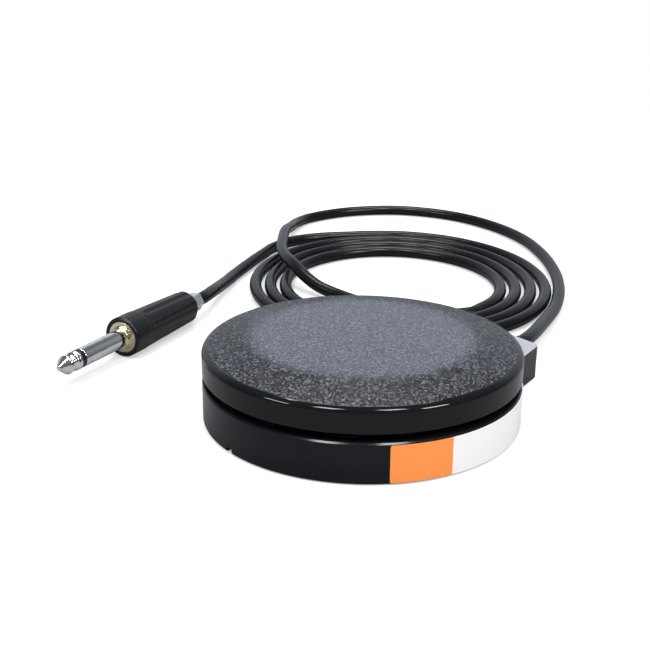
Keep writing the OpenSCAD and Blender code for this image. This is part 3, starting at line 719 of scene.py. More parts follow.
    @staticmethod
    def copy(node: str, name: str) -> bpy.types.Object:
        """Copies a CAD node, joins its loose triangles and clears its flat faces of edges.

        Args:
            node: The node.
            name: The copy's name.

        Returns:
            The copy.
        """
        Bench.clear()
        piece = Bench.add(name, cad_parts[node].data.copy())
        piece.data.name = name
        for layer in list(piece.data.attributes):
            if layer.name == "custom_normal":
                piece.data.attributes.remove(layer)
        Bench.edit(piece)
        bpy.ops.mesh.select_all(action="SELECT")
        bpy.ops.mesh.remove_doubles(threshold=MERGE)
        bpy.ops.mesh.dissolve_limited(angle_limit=math.radians(COPLANAR))
        return Bench.done(piece)

    @staticmethod
    def move(piece: bpy.types.Object, where: Matrix) -> bpy.types.Object:
        """Puts a piece at a place and applies that to its mesh.

        Args:
            piece: The piece.
            where: The place's matrix.

        Returns:
            The piece.
        """
        Bench.focus(piece)
        piece.matrix_world = where
        Bench.settle()
        return piece

    @staticmethod
    def join(name: str, pieces: Sequence[bpy.types.Object]) -> bpy.types.Object:
        """Joins pieces into the first of them.

        Args:
            name: The joined piece's name.
            pieces: The pieces.

        Returns:
            The joined piece.
        """
        Bench.clear()
        for piece in pieces:
            piece.select_set(True)
        bpy.context.view_layer.objects.active = pieces[0]
        bpy.ops.object.join()
        pieces[0].name = pieces[0].data.name = name
        return pieces[0]

    @staticmethod
    def cut(piece: bpy.types.Object, tool: bpy.types.Object, operation: str) -> None:
        """Cuts a piece with a tool, or adds the tool to it, and removes the tool."""
        Bench.modify(piece, "BOOLEAN", operation=operation, object=tool, solver="EXACT")
        bpy.data.objects.remove(tool)

    @staticmethod
    def wire(name: str, points: Sequence[Point], diameter: float, sides: int = 4,
             detail: int = 6) -> bpy.types.Object:
        """Makes a round wire along points in millimetres, as a curve of one open spline.

        Args:
            name: The piece's name.
            points: The points that the wire's middle passes through.
            diameter: Its diameter in millimetres.
            sides: Bevel resolution of its section.
            detail: Steps between two points.

        Returns:
            The curve.
        """
        data = bpy.data.curves.new(name, "CURVE")
        data.dimensions = "3D"
        data.bevel_depth = diameter / 2 * MM
        data.bevel_resolution = sides
        data.resolution_u = detail
        data.use_fill_caps = True
        spline = data.splines.new("BEZIER")
        spline.bezier_points.add(len(points) - 1)
        spots = [Vector(p) * MM for p in points]
        lowest = min(p.z for p in spots)
        for i, (knot, spot) in enumerate(zip(spline.bezier_points, spots)):
            before = spots[i - 1] if i else spots[0] * 2 - spots[1]
            after = spots[i + 1] if i + 1 < len(spots) else spots[-1] * 2 - spots[-2]
            along = (after - before).normalized()
            back = along * (spot - before).length / 3
            ahead = along * (after - spot).length / 3
            knot.co = spot
            knot.handle_left_type = knot.handle_right_type = "FREE"
            knot.handle_left = Vector((spot.x - back.x, spot.y - back.y,
                                       max(lowest, spot.z - back.z)))
            knot.handle_right = Vector((spot.x + ahead.x, spot.y + ahead.y,
                                        max(lowest, spot.z + ahead.z)))
        return Bench.add(name, data)


def rounded(corners: Sequence[Tuple[float, float, float]], steps: int = 5) -> List[Station]:
    """Rounds the corners of an outline.

    Args:
        corners: Radius, height and rounding of each corner, in millimetres.
        steps: Faces round each corner.

    Returns:
        The outline's stations.
    """
    stations: List[Station] = []
    for i, (x, z, rounding) in enumerate(corners):
        if rounding == 0 or i in (0, len(corners) - 1):
            stations.append((x, z))
            continue
        here = Vector((x, z))
        back = Vector(corners[i - 1][:2]) - here
        ahead = Vector(corners[i + 1][:2]) - here
        half = back.angle(ahead) / 2
        reach = rounding / math.tan(half)
        centre = here + (back.normalized() + ahead.normalized()).normalized() * (
            rounding / math.sin(half))
        start = here + back.normalized() * reach - centre
        end = here + ahead.normalized() * reach - centre
        sweep = start.angle_signed(end)
        for k in range(steps + 1):
            turned = start.copy()
            turned.rotate(Matrix.Rotation(-sweep * k / steps, 2))
            stations.append((centre.x + turned.x, centre.y + turned.y))
    return stations


def hand_over(piece: bpy.types.Object, body: Body, finish: bpy.types.Material,
              slot: Slot, *nodes: str) -> bpy.types.Object:
    """Gives a finished piece its material and body, and hides the CAD nodes that it stands for.

    Args:
        piece: The piece.
        body: The body that it rides on.
        finish: Its material.
        slot: Not used.
        nodes: The CAD nodes that it replaces.

    Returns:
        The piece.
    """
    piece.data.materials.clear()
    piece.data.materials.append(finish)
    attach(piece, body.value)
    if nodes:
        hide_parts(*nodes)
    LOG.info("%s rides on %s and replaces %s", piece.name, body.value,
             ", ".join(nodes) or "nothing")
    return piece


def dress_nodes(finish: Finish, *nodes: str) -> None:
    """Gives CAD nodes that stay visible one finish.

    Args:
        finish: The finish.
        nodes: The nodes' names.
    """
    made = finish.material(f"finish_{nodes[0]}")
    for node in nodes:
        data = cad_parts[node].data
        data.materials.clear()
        data.materials.append(made)
        LOG.info("%s keeps its solid with %s", node, made.name)


@dataclass
class Viewpoint:
    """The camera, at the photograph's place. Millimetres and degrees."""

    place: Point = (233.5, -196.5, 136.7)
    heading: float = 52.0
    pitch: float = 19.68
    roll: float = 0.48
    lens: float = 60.92
    sensor: float = 36.0

    def build(self) -> bpy.types.Object:
        """Makes the camera.

        Returns:
            The camera.
        """
        data = bpy.data.cameras.new("viewpoint")
        data.lens = self.lens
        data.sensor_width = self.sensor
        data.clip_start = 0.01
        camera = Bench.add("viewpoint", data)
        turn, dip, lean = (math.radians(a) for a in (self.heading, self.pitch, self.roll))
        ahead = Vector((-math.sin(turn) * math.cos(dip), math.cos(turn) * math.cos(dip),
                        -math.sin(dip)))
        level = Vector((math.cos(turn), math.sin(turn), 0))
        upright = level.cross(ahead)
        right = level * math.cos(lean) + upright * math.sin(lean)
        up = right.cross(ahead)
        matrix = Matrix((right, up, -ahead)).transposed().to_4x4()
        matrix.translation = Vector(self.place) * MM
        camera.matrix_world = matrix
        bpy.context.scene.camera = camera
        return camera


@dataclass
class CordLead:
    """The free cord: out of the base, round, over and into the coil, and out to the plug.

    Places and sizes are in millimetres, angles in degrees and the length in metres.
    """

    diameter: float = 4.8
    floor: float = 2.4
    start: Point = (0, 65.1, 6.9)
    run: Sequence[Point] = (
        (0, 70, 6.7), (-2.6, 77, 6.2), (-6.9, 85.2, 5.4), (-12.6, 95, 4.3), (-19, 106, 3.3),
        (-25, 116, 2.6), (-32.5, 126.7, 2.4), (-43.7, 140.1, 2.4), (-58.8, 154.5, 2.4),
        (-79, 169.6, 2.4), (-102, 181.9, 2.4), (-128, 188, 2.4), (-154, 186, 2.4),
        (-177, 173, 2.4), (-190, 151, 2.4), (-192, 127, 2.4),
        (-186, 113, 3), (-175, 102, 5.2), (-163, 90, 7.8), (-150, 79, 8.4), (-138, 70, 8.4),
        (-127, 64, 8.4), (-116, 60, 8.2), (-106, 58, 6.2), (-97, 58, 4), (-87, 60, 2.6),
        (-76, 61, 2.4), (-64, 62, 2.4), (-53, 66, 2.4), (-46, 73, 2.4))
    tail: Sequence[Point] = (
        (-160, 105, 2.4), (-161.5, 92, 2.4), (-158, 79.5, 2.4), (-151.6, 69, 2.4),
        (-145.5, 59.5, 2.4), (-134.5, 44, 2.6), (-126, 34, 3.4), (-117.5, 24.8, 4.8),
        (-109.8, 16.6, 6.3))
    centre: Tuple[float, float] = (-84, 88)
    lie: float = 52.0
    first: float = -45.0
    turns: float = 3.4
    rings: int = 24
    half_widths: Tuple[float, float] = (41, 45)
    growth: Tuple[float, float] = (6.1, 7.7)
    drift: float = 1.4
    length: float = 1.80

    def coil_point(self, turn: float) -> Vector:
        """Finds a point on the coil's middle line.

        Args:
            turn: How many turns from its inner end.

        Returns:
            The point, in millimetres.
        """
        angle = math.radians(self.first + 360 * turn)
        lie = math.radians(self.lie)
        wide, deep = (w + g * turn for w, g in zip(self.half_widths, self.growth))
        along = wide * math.cos(angle)
        across = self.drift * turn + deep * math.sin(angle)
        return Vector((self.centre[0] + along * math.cos(lie) - across * math.sin(lie),
                       self.centre[1] + along * math.sin(lie) + across * math.cos(lie),
                       self.floor))

    def route(self, plug: "PhonePlug") -> List[Point]:
        """Lists the points of the whole route.

        Args:
            plug: The plug that the cord ends in.

        Returns:
            The points, in millimetres.
        """
        near = 0.004
        steps = math.ceil(self.turns * self.rings)
        coil = [self.coil_point(self.turns * i / steps) for i in range(steps + 1)]
        lead_in = coil[0] + self.diameter * (
            self.coil_point(-near) - self.coil_point(near)).normalized()
        lead_out = coil[-1] + self.diameter * (
            self.coil_point(self.turns + near) - self.coil_point(self.turns - near)).normalized()
        rear = plug.point(plug.length)
        before_plug = plug.point(plug.length + self.diameter)
        return [self.start, *self.run, tuple(lead_in), *(tuple(p) for p in coil),
                tuple(lead_out), *self.tail, tuple(before_plug), tuple(rear)]

    def build(self, plug: "PhonePlug", plug_pieces: List[bpy.types.Object]) -> bpy.types.Object:
        """Args:
            plug: The plug's sizes and place.
            plug_pieces: Not used.

        Returns:
            The cord.
        """
        cord = Bench.wire("cord", self.route(plug), self.diameter, sides=6)
        hand_over(cord, Body.BASE, Jacket().material("cord_jacket_finish"), Slot.CORD,
                  "cord_run", "cord_coil", "cord_tail")
        return cord


@dataclass
class PhonePlug:
    """The plug on the cord's end, turned about its own axis from the tip on, in millimetres."""

    rear: Tuple[float, float] = (-102, 4.8)
    heading: float = 114.5
    height: float = 6.95
    length: float = 77.1
    jack: float = 3.175
    shank: float = 2.8
    rod: float = 1.0
    tube: float = 1.9
    collar_at: float = 30.4
    insulator_end: float = 10.4
    handle_at: float = 32.0
    flange_at: float = 32.4
    flange_end: float = 33.0
    handle_end: float = 71.5
    step_at: float = 69.2
    ring_end: float = 40.0
    inner_at: float = 39.0
    handle: float = 6.95
    handle_rear: float = 5.95
    flutes: int = 8
    play: float = 0.02

    def frame(self) -> Matrix:
        """Finds where the plug lies.

        Returns:
            The matrix from the plug's own axis to its place.
        """
        turn = math.radians(self.heading)
        axis = Vector((math.cos(turn), math.sin(turn), 0))
        tip = Vector((*self.rear, self.height)) - axis * self.length
        lay = Matrix.Rotation(turn, 4, "Z") @ Matrix.Rotation(math.radians(90), 4, "Y")
        return Matrix.Translation(tip * MM) @ lay

    def point(self, along: float) -> Vector:
        """Returns a place on the plug's axis, in millimetres."""
        return (self.frame() @ Vector((0, 0, along * MM))) / MM

    def _finish(self, piece: bpy.types.Object, finish: bpy.types.Material, slot: Slot,
                node: str, angle: float = 32.0) -> bpy.types.Object:
        """Smooths a turned piece, lays it in place and hands it over."""
        Bench.move(Bench.smooth(piece, angle), self.frame())
        return hand_over(piece, Body.BASE, finish, slot, node)

    def _tip(self) -> bpy.types.Object:
        """Makes the tip with its cone, neck and ring, and its rod.

        Returns:
            The turned piece.
        """
        j = self.jack
        return Bench.turn("plug_tip_piece", rounded([
            (0, 0, 0), (0.75, 0.0, 0.3), (j, 3.45, 0.35), (j, 3.95, 0.3), (2.1, 5.35, 0.4),
            (2.1, 5.75, 0.3), (2.55, 6.05, 0.3), (2.55, 6.2, 0.1), (j, 6.75, 0.5),
            (j, 7.7, 0.35), (2.95, 7.85, 0.1), (j, 8.0, 0.12), (j, 8.38, 0.1), (self.rod, 8.4, 0),
            (self.rod, self.inner_at + 3.2, 0.1), (0, self.inner_at + 3.2, 0)], 6), 96)

    def _insulator(self) -> bpy.types.Object:
        """Makes the insulating ring and its inner tube.

        Returns:
            The turned piece.
        """
        j = self.jack - 0.03
        return Bench.turn("plug_insulator_piece", rounded([
            (self.rod + self.play, 8.43, 0), (j, 8.43, 0.12), (j, self.insulator_end - 0.01, 0.12),
            (self.tube, self.insulator_end - 0.01, 0), (self.tube, self.inner_at + 0.6, 0),
            (self.rod + self.play, self.inner_at + 0.6, 0), (self.rod + self.play, 8.43, 0)], 3),
            96, ring=True)

    def _sleeve(self) -> bpy.types.Object:
        """Makes the sleeve, with its thinner shank inside the collar.

        Returns:
            The turned piece.
        """
        bore = self.tube + self.play
        return Bench.turn("plug_sleeve_piece", rounded([
            (bore, self.insulator_end + 0.03, 0), (self.jack, self.insulator_end + 0.03, 0.18),
            (self.jack, self.collar_at - 0.1, 0), (self.shank, self.collar_at - 0.09, 0),
            (self.shank, self.inner_at - 0.03, 0), (bore, self.inner_at - 0.03, 0),
            (bore, self.insulator_end + 0.03, 0)], 4), 96, ring=True)

    def _collar(self) -> bpy.types.Object:
        """Makes the collar with its boss, flange and grooved neck.

        Returns:
            The turned piece.
        """
        bore, boss, seat, flange = self.shank + self.play, 3.95, 4.1, 5.5
        crest, neck, pitch = 4.86, 4.6, 0.7
        grooves: List[Tuple[float, float, float]] = []
        for i in range(8):
            z = self.flange_end + 0.15 + i * pitch
            grooves += [(crest, z, 0.05), (neck, z + pitch / 2, 0.05)]
        return Bench.turn("plug_collar_piece", rounded([
            (bore, self.collar_at + 0.02, 0), (3.5, self.collar_at + 0.02, 0.12),
            (boss, self.collar_at + 0.5, 0.3), (boss, self.flange_at - 0.15, 0.1),
            (seat, self.flange_at, 0.05), (flange, self.flange_at, 0.2),
            (flange, self.flange_end - 0.02, 0.08), (neck, self.flange_end - 0.02, 0), *grooves,
            (neck, self.inner_at - 0.05, 0), (bore, self.inner_at - 0.05, 0),
            (bore, self.collar_at + 0.02, 0)], 4), 96, ring=True)

    def _handle(self) -> bpy.types.Object:
        """Makes the handle: a smooth ring and a taper with rounded flutes cut along it.

        Returns:
            The piece, on the plug's own axis.
        """
        bore, mouth, far = 5.0, 5.56, 3.63
        body = Bench.turn("plug_handle_piece", rounded([
            (mouth, self.handle_at + 0.2, 0), (mouth + 0.2, self.handle_at, 0.15),
            (self.handle, self.handle_at, 0.9), (self.handle, self.ring_end - 0.2, 0.3),
            (self.handle - 0.15, self.ring_end + 0.2, 0.3),
            (self.handle_rear, self.step_at, 0.7), (4.4, self.handle_end, 0.4),
            (far, self.handle_end, 0.15), (far, self.step_at, 0), (bore, self.step_at, 0),
            (bore, self.flange_end, 0), (mouth, self.flange_end, 0),
            (mouth, self.handle_at + 0.2, 0)], 5), 160, ring=True)
        lean = math.atan2(self.handle - self.handle_rear, self.step_at - self.ring_end)
        tools: List[bpy.types.Object] = []
        for i in range(self.flutes):
            tools.append(self._flute(lean, 360 * (i + 0.5) / self.flutes))
        Bench.cut(body, Bench.join("flute_tools", tools), "DIFFERENCE")
        Bench.soften(body, width=0.14, segments=3, angle=24)
        return body

    def _flute(self, lean: float, turn: float) -> bpy.types.Object:
        """Makes the round-ended bar that cuts one flute.

        Args:
            lean: How far it leans with the taper, in radians.
            turn: Its place round the handle, in degrees.

        Returns:
            The bar.
        """
        radius, depth, start = 2.3, 0.62, 1.2
        reach = self.handle_end - self.ring_end
        bar = Bench.turn("flute_tool", rounded([
            (0, 0, 0), (radius, 0, radius * 0.8), (radius, reach, 0), (0, reach, 0)], 6), 32)
        place = (Matrix.Rotation(math.radians(turn), 4, "Z")
                 @ Matrix.Translation(Vector((self.handle + radius - depth, 0,
                                              self.ring_end + start)) * MM)
                 @ Matrix.Rotation(-lean, 4, "Y"))
        return Bench.move(bar, place)

    def _ferrule(self) -> bpy.types.Object:
        """Makes the six-sided rear ferrule, flanged inside the handle, and bores it.

        Returns:
            The piece, on the plug's own axis.
        """
        flange, corner, hole, mouth = 4.1, 3.6, 2.42, 2.7
        body = Bench.turn("plug_ferrule_piece", [
            (flange, self.step_at - 0.62), (flange, self.step_at - 0.02),
            (corner, self.step_at), (corner, self.length)], 6)
        Bench.soften(body, width=0.45, segments=5, angle=40)
        bore = Bench.turn("ferrule_bore", [
            (hole, self.step_at - 2), (hole, self.length - 0.25), (mouth, self.length + 0.5)], 64)
        Bench.cut(body, bore, "DIFFERENCE")
        return body

    def build(self) -> List[bpy.types.Object]:
        """Makes the plug.

        Returns:
            All its pieces, inner CAD nodes among them.
        """
        lines = {"turn": (0, 0, -self.heading), "stretch": (8, 1, 1)}
        chrome = Plated((0.93, 0.92, 0.9), 0.09, **lines).material("plug_nickel")
        gilt = Plated((0.93, 0.84, 0.6), 0.2, **lines).material("plug_brass")
        black = Moulded((0.006, 0.006, 0.0065), 0.22).material("plug_black")
        grip = Moulded((0.005, 0.0055, 0.0065), 0.3, 0.000006, 0.000004,
                       shine=0.3).material("plug_grip")
        pieces = [
            self._finish(self._tip(), chrome, Slot.CHROME, "plug_tip"),
            self._finish(self._insulator(), black, Slot.INSULATION, "plug_insulator"),
            self._finish(self._sleeve(), chrome, Slot.CHROME, "plug_sleeve"),
            self._finish(self._collar(), gilt, Slot.COLLAR, "plug_collar"),
            self._finish(self._handle(), grip, Slot.HANDLE, "plug_handle", 28),
            self._finish(self._ferrule(), chrome, Slot.CHROME, "plug_ferrule")]
        dress_nodes(Moulded((0.62, 0.6, 0.52), 0.3), "plug_liner")
        dress_nodes(Plated((0.7, 0.7, 0.69), 0.25), "ground_lug", "tip_lug")
        dress_nodes(Jacket(), "cord_in_plug")
        inner = [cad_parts[n] for n in ("plug_liner", "ground_lug", "tip_lug",
                                             "cord_in_plug")]
        return pieces + inner


@dataclass
class PressCap:
    """The cap that the foot presses, with its posts, seats and ribs, in millimetres."""

    radius: float = 47.5
    rim: float = 14.5
    band_top: float = 20.3
    shoulder: float = 21.9
    shoulder_in: float = 46.0
    middle_edge: float = 24.5
    middle: float = 34.6
    apex: float = 25.6
    wall: float = 2.3
    circle: float = 33.0
    post: float = 3.5
    post_from: float = 6.7
    collar: float = 5.18
    collar_from: float = 14.9
    hole: float = 1.52
    seat: float = 8.1
    seat_from: float = 19.5
    groove: float = 2.2
    rib: float = 1.6
    rib_short: float = 8.0
    rib_deep: float = 2.0
    tip: float = 2.0
    tip_at: float = 22.43

    def _crown(self, inner: bool) -> List[Tuple[float, float, float]]:
        """Lists the crowned middle's corners.

        Args:
            inner: Whether the inner face is wanted.

        Returns:
            The corners, from the centre outwards.
        """
        drop = self.wall if inner else 0.0
        shares = (0.0, 0.12, 0.25, 0.4, 0.55, 0.7, 0.85)
        return [(self.middle * u, self.apex - drop - (self.apex - self.middle_edge) * u * u, 0)
                for u in shares]

    def _shell(self) -> bpy.types.Object:
        """Turns the shell.

        Returns:
            The shell.
        """
        t = self.wall
        outer = [*self._crown(False), (self.middle, self.middle_edge, 6.0),
                 (self.shoulder_in, self.shoulder, 0.5), (self.radius, self.band_top + 0.9, 1.7),
                 (self.radius, self.rim, 0.3), (self.radius - t, self.rim, 0.3),
                 (self.radius - t, self.shoulder - t, 0.6),
                 (self.middle, self.middle_edge - t, 4.0)]
        corners = outer + list(reversed(self._crown(True)))
        return Bench.turn("pedal_cap_piece", rounded(corners, 7), 256)

    def _under(self) -> List[bpy.types.Object]:
        """Makes the posts with their collars and spring seats, the ribs and the middle tip.

        Returns:
            The pieces, to be joined to the shell.
        """
        parts: List[bpy.types.Object] = []
        for i in range(4):
            turn = math.radians(45 + 90 * i)
            place = Matrix.Translation((self.circle * math.cos(turn) * MM,
                                        self.circle * math.sin(turn) * MM, 0))
            top = self.middle_edge - 1.2
            post = Bench.turn("post", rounded([
                (self.hole, self.post_from, 0), (self.post, self.post_from, 0.25),
                (self.post, self.collar_from, 0), (self.collar, self.collar_from, 0.25),
                (self.collar, self.seat_from, 0.2),
                (self.seat - self.groove, self.seat_from + 0.1, 0),
                (self.seat - self.groove, self.seat_from, 0.1), (self.seat, self.seat_from, 0.25),
                (self.seat, top - 1.2, 0), (self.hole, top - 1.2, 0),
                (self.hole, self.post_from, 0)], 3), 64, ring=True)
            parts.append(Bench.move(post, place))
            parts.append(self._rib(turn))
        parts.append(Bench.turn("tip", rounded([
            (0, self.tip_at - self.tip, 0), (1.2, self.tip_at - self.tip + 0.15, 1.0),
            (self.tip, self.tip_at, 0.8), (self.tip, self.tip_at + 0.3, 0),
            (4.0, self.tip_at + 0.4, 0.2), (4.0, self.apex - 1.4, 0),
            (0, self.apex - 1.4, 0)], 4), 64))
        return parts

    def _rib(self, turn: float) -> bpy.types.Object:
        """Makes one rib from the middle to a post, tapered towards its lower edge.

        Args:
            turn: The post's place round the cap, in radians.

        Returns:
            The rib.
        """
        Bench.clear()
        bpy.ops.mesh.primitive_cube_add(size=1, location=(0, 0, 0))
        rib = bpy.context.active_object
        low, high = self.apex - self.wall - self.rib_deep, self.middle_edge - self.wall * 0.5
        reach = self.circle - self.rib_short
        rib.scale = (reach * MM, self.rib * MM, (high - low) * MM)
        rib.location = (reach / 2 * MM, 0, (low + high) / 2 * MM)
        Bench.settle()
        Bench.pick(rib, "polygons", lambda f: f.normal.z < -0.5)
        rim, taper = 0.12, 0.8
        bpy.ops.mesh.inset(thickness=rim * MM)
        bpy.ops.transform.resize(value=(1, taper, 1), center_override=(0, 0, low * MM))
        Bench.done(rib)
        return Bench.move(rib, Matrix.Rotation(turn, 4, "Z"))

    def build(self) -> None:
        """Makes the cap and dresses its screws and washers."""
        shell = self._shell()
        for part in self._under():
            Bench.cut(shell, part, "UNION")
        Bench.smooth(shell, 30)
        hand_over(shell, Body.PEDAL, GrainedCap().material("cap_grained"), Slot.CAP, "pedal_cap")
        dress_nodes(Plated((0.62, 0.62, 0.63), 0.22), "cap_screws")
        dress_nodes(Plated((0.68, 0.68, 0.69), 0.3), "cap_washers")


@dataclass
class BaseShell:
    """The base with its pad, label, grommet, cord clamp and leads. Millimetres and degrees."""

    radius: float = 47.5
    label_from: float = -30.5
    label_to: float = 57.0
    label_low: float = 0.5
    label_high: float = 11.4
    label_round: float = 1.3
    label_thick: float = 0.18
    label_gap: float = 0.03
    cord_at: float = 6.9
    cord_hole: float = 2.42
    neck: float = 3.25
    lip: float = 3.67
    neck_from: float = 61.52
    lip_from: float = 63.92
    lip_to: float = 65.08

    def _housing(self) -> bpy.types.Object:
        """Refines the housing: joined faces, small rounded edges and smooth walls.

        Returns:
            The housing's piece.
        """
        piece = Bench.copy("base_housing", "base_housing_piece")
        Bench.soften(piece, width=0.1, segments=2, angle=35)
        return Bench.smooth(piece, 30)

    def _label(self) -> bpy.types.Object:
        """Makes the label: a band cut to length, with rounded corners and a thickness.

        Returns:
            The label.
        """
        Bench.clear()
        bpy.ops.mesh.primitive_circle_add(vertices=180, radius=(self.radius + self.label_gap) * MM,
                                          location=(0, 0, self.label_low * MM),
                                          fill_type="NOTHING")
        band = bpy.context.active_object
        band.name = band.data.name = "side_label_piece"
        Bench.settle()
        bpy.ops.object.mode_set(mode="EDIT")
        bpy.ops.mesh.select_all(action="SELECT")
        Bench.draw_up(self.label_high - self.label_low)
        for angle, side in ((self.label_from, 1), (self.label_to, -1)):
            turn = math.radians(angle)
            bpy.ops.mesh.select_all(action="SELECT")
            bpy.ops.mesh.bisect(plane_co=(0, 0, 0),
                                plane_no=(math.sin(turn) * side, -math.cos(turn) * side, 0),
                                clear_outer=True)
        Bench.done(band)
        ends = [math.radians(a) for a in (self.label_from, self.label_to)]

        def corner(vertex: bpy.types.MeshVertex) -> bool:
            """Says whether a vertex lies at an end of the band."""
            angle = math.atan2(vertex.co.y, vertex.co.x)
            return min(abs(angle - e) for e in ends) < 0.002

        Bench.pick(band, "vertices", corner)
        bpy.ops.mesh.bevel(offset=self.label_round * MM, segments=6, affect="VERTICES")
        bpy.ops.mesh.select_all(action="SELECT")
        bpy.ops.mesh.normals_make_consistent(inside=False)
        Bench.done(band)
        outward = sum(p.normal.dot(Vector((p.center.x, p.center.y, 0))) for p in
                      band.data.polygons)
        if outward < 0:
            Bench.edit(band)
            bpy.ops.mesh.select_all(action="SELECT")
            bpy.ops.mesh.flip_normals()
            Bench.done(band)
        Bench.modify(band, "SOLIDIFY", thickness=self.label_thick * MM, offset=1.0)
        return Bench.smooth(band, 40)

    def _grommet(self) -> bpy.types.Object:
        """Makes the grommet round the cord where it leaves.

        Returns:
            The grommet.
        """
        hole, neck, lip = self.cord_hole, self.neck, self.lip
        ring = Bench.turn("cord_grommet_piece", rounded([
            (hole, self.neck_from, 0), (neck, self.neck_from, 0.1), (neck, self.lip_from, 0),
            (lip, 63.93, 0.1), (lip, 64.5, 0.35), (3.1, self.lip_to, 0.4),
            (hole, self.lip_to, 0.25), (hole, self.neck_from, 0)], 4), 72, ring=True)
        lay = Matrix.Rotation(math.radians(-90), 4, "X")
        return Bench.smooth(Bench.move(ring, Matrix.Translation((0, 0, self.cord_at * MM)) @ lay))

    def build(self) -> None:
        """Makes and dresses the base."""
        # The base's black, with a painted reflection on the outlet block's top.
        black = LedgeWithPaintedReflection((0.0045, 0.0052, 0.0068), 0.16, shine=0.22).material("base_black")
        hand_over(self._housing(), Body.BASE, black, Slot.BASE, "base_housing")
        hand_over(self._label(), Body.BASE, PrintedFilm().material("label_print"), Slot.LABEL,
                  "side_label")
        hand_over(self._grommet(), Body.BASE, Rubber((0.012, 0.012, 0.012), 0.0005).material(
            "grommet_rubber"), Slot.GROMMET, "cord_grommet")
        dress_nodes(Rubber(), "nonslip_pad")
        dress_nodes(Jacket(), "cord_in_base")
        dress_nodes(Plated((0.66, 0.67, 0.68), 0.28), "cord_clamp")
        dress_nodes(Plated((0.6, 0.61, 0.62), 0.22), "clamp_screws")
        dress_nodes(Moulded((0.78, 0.78, 0.75), 0.35), "common_lead")
        dress_nodes(Moulded((0.5, 0.03, 0.025), 0.35), "signal_lead")


@dataclass
class ReturnSprings:
    """The four springs round the guides, which shorten with the cap, in millimetres."""

    circle: float = 33.0
    radius: float = 7.0
    wire: float = 1.0
    low: float = 4.42
    high: float = 19.48
    curls: int = 5
    steps: int = 20
    closed: float = 0.15
    slack: float = 1.1
    travel: float = 1.8

    def _rise(self, share: float) -> float:
        """Finds the wire's height above its lowest place.

        Args:
            share: How far along its curls, from 0 to 1.

        Returns:
            The height, in millimetres.
        """
        full = self.high - self.low - self.wire
        flat = self.wire * self.curls * self.closed * self.slack
        if share < self.closed:
            return flat * share / self.closed
        if share > 1 - self.closed:
            return full - flat * (1 - share) / self.closed
        return flat + (full - 2 * flat) * (share - self.closed) / (1 - 2 * self.closed)

    def _spring(self, index: int) -> bpy.types.Object:
        """Makes one spring.

        Args:
            index: Which of the four guides it is round.

        Returns:
            The spring.
        """
        turn = math.radians(45 + 90 * index)
        middle = (self.circle * math.cos(turn), self.circle * math.sin(turn))
        points: List[Point] = []
        for i in range(self.curls * self.steps + 1):
            share = i / (self.curls * self.steps)
            angle = math.radians(360 * self.curls * share) + turn
            points.append((middle[0] + self.radius * math.cos(angle),
                           middle[1] + self.radius * math.sin(angle),
                           self.low + self.wire / 2 + self._rise(share)))
        spring = Bench.wire(f"spring_{index}", points, self.wire, sides=3, detail=1)
        Bench.focus(spring)
        bpy.ops.object.convert(target="MESH")
        return bpy.context.active_object

    def build(self) -> None:
        """Makes the springs as one piece on the base, with a mesh of its own."""
        springs = Bench.join("return_springs_piece", [self._spring(i) for i in range(4)])
        Bench.smooth(springs, 50)
        steel = Plated((0.16, 0.16, 0.17), 0.35).material("spring_wire")
        hand_over(springs, Body.BASE, steel, Slot.SPRING, "return_springs")
        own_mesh(springs)


@dataclass
class SnapSwitch:
    """The switch in the middle, whose own solids stay and get their finishes."""

    def build(self) -> None:
        """Dresses the switch."""
        dress_nodes(Moulded((0.035, 0.035, 0.037), 0.42, 0.000004, 0.000008), "switch_case",
                    "switch_cover")
        dress_nodes(Plated((0.64, 0.65, 0.66), 0.22), "switch_screws")
        dress_nodes(Plated((0.78, 0.62, 0.34), 0.3), "common_terminal", "open_terminal",
                    "closed_terminal")
        dress_nodes(Plated((0.8, 0.5, 0.3), 0.25), "switch_blade")
        dress_nodes(Moulded((0.42, 0.02, 0.015), 0.28), "switch_button")
        dress_nodes(Plated((0.66, 0.67, 0.68), 0.2), "lever_pin")
        dress_nodes(Plated((0.7, 0.71, 0.72), 0.26, (0, 0, 0), (1, 6, 1)), "switch_lever")


@dataclass
class Softbox:
    """One large soft lamp. Metres and watts."""

    name: str
    place: Point
    aim: Point
    size: Tuple[float, float]
    power: float
    colour: Colour = (1.0, 1.0, 1.0)

    def build(self) -> None:
        """Makes the lamp."""
        data = bpy.data.lights.new(self.name, "AREA")
        data.shape = "RECTANGLE"
        data.size, data.size_y = self.size
        data.energy = self.power
        data.color = self.colour
        lamp = Bench.add(self.name, data)
        lamp.location = self.place
        toward = Vector(self.aim) - Vector(self.place)
        lamp.rotation_euler = toward.to_track_quat("-Z", "Y").to_euler()


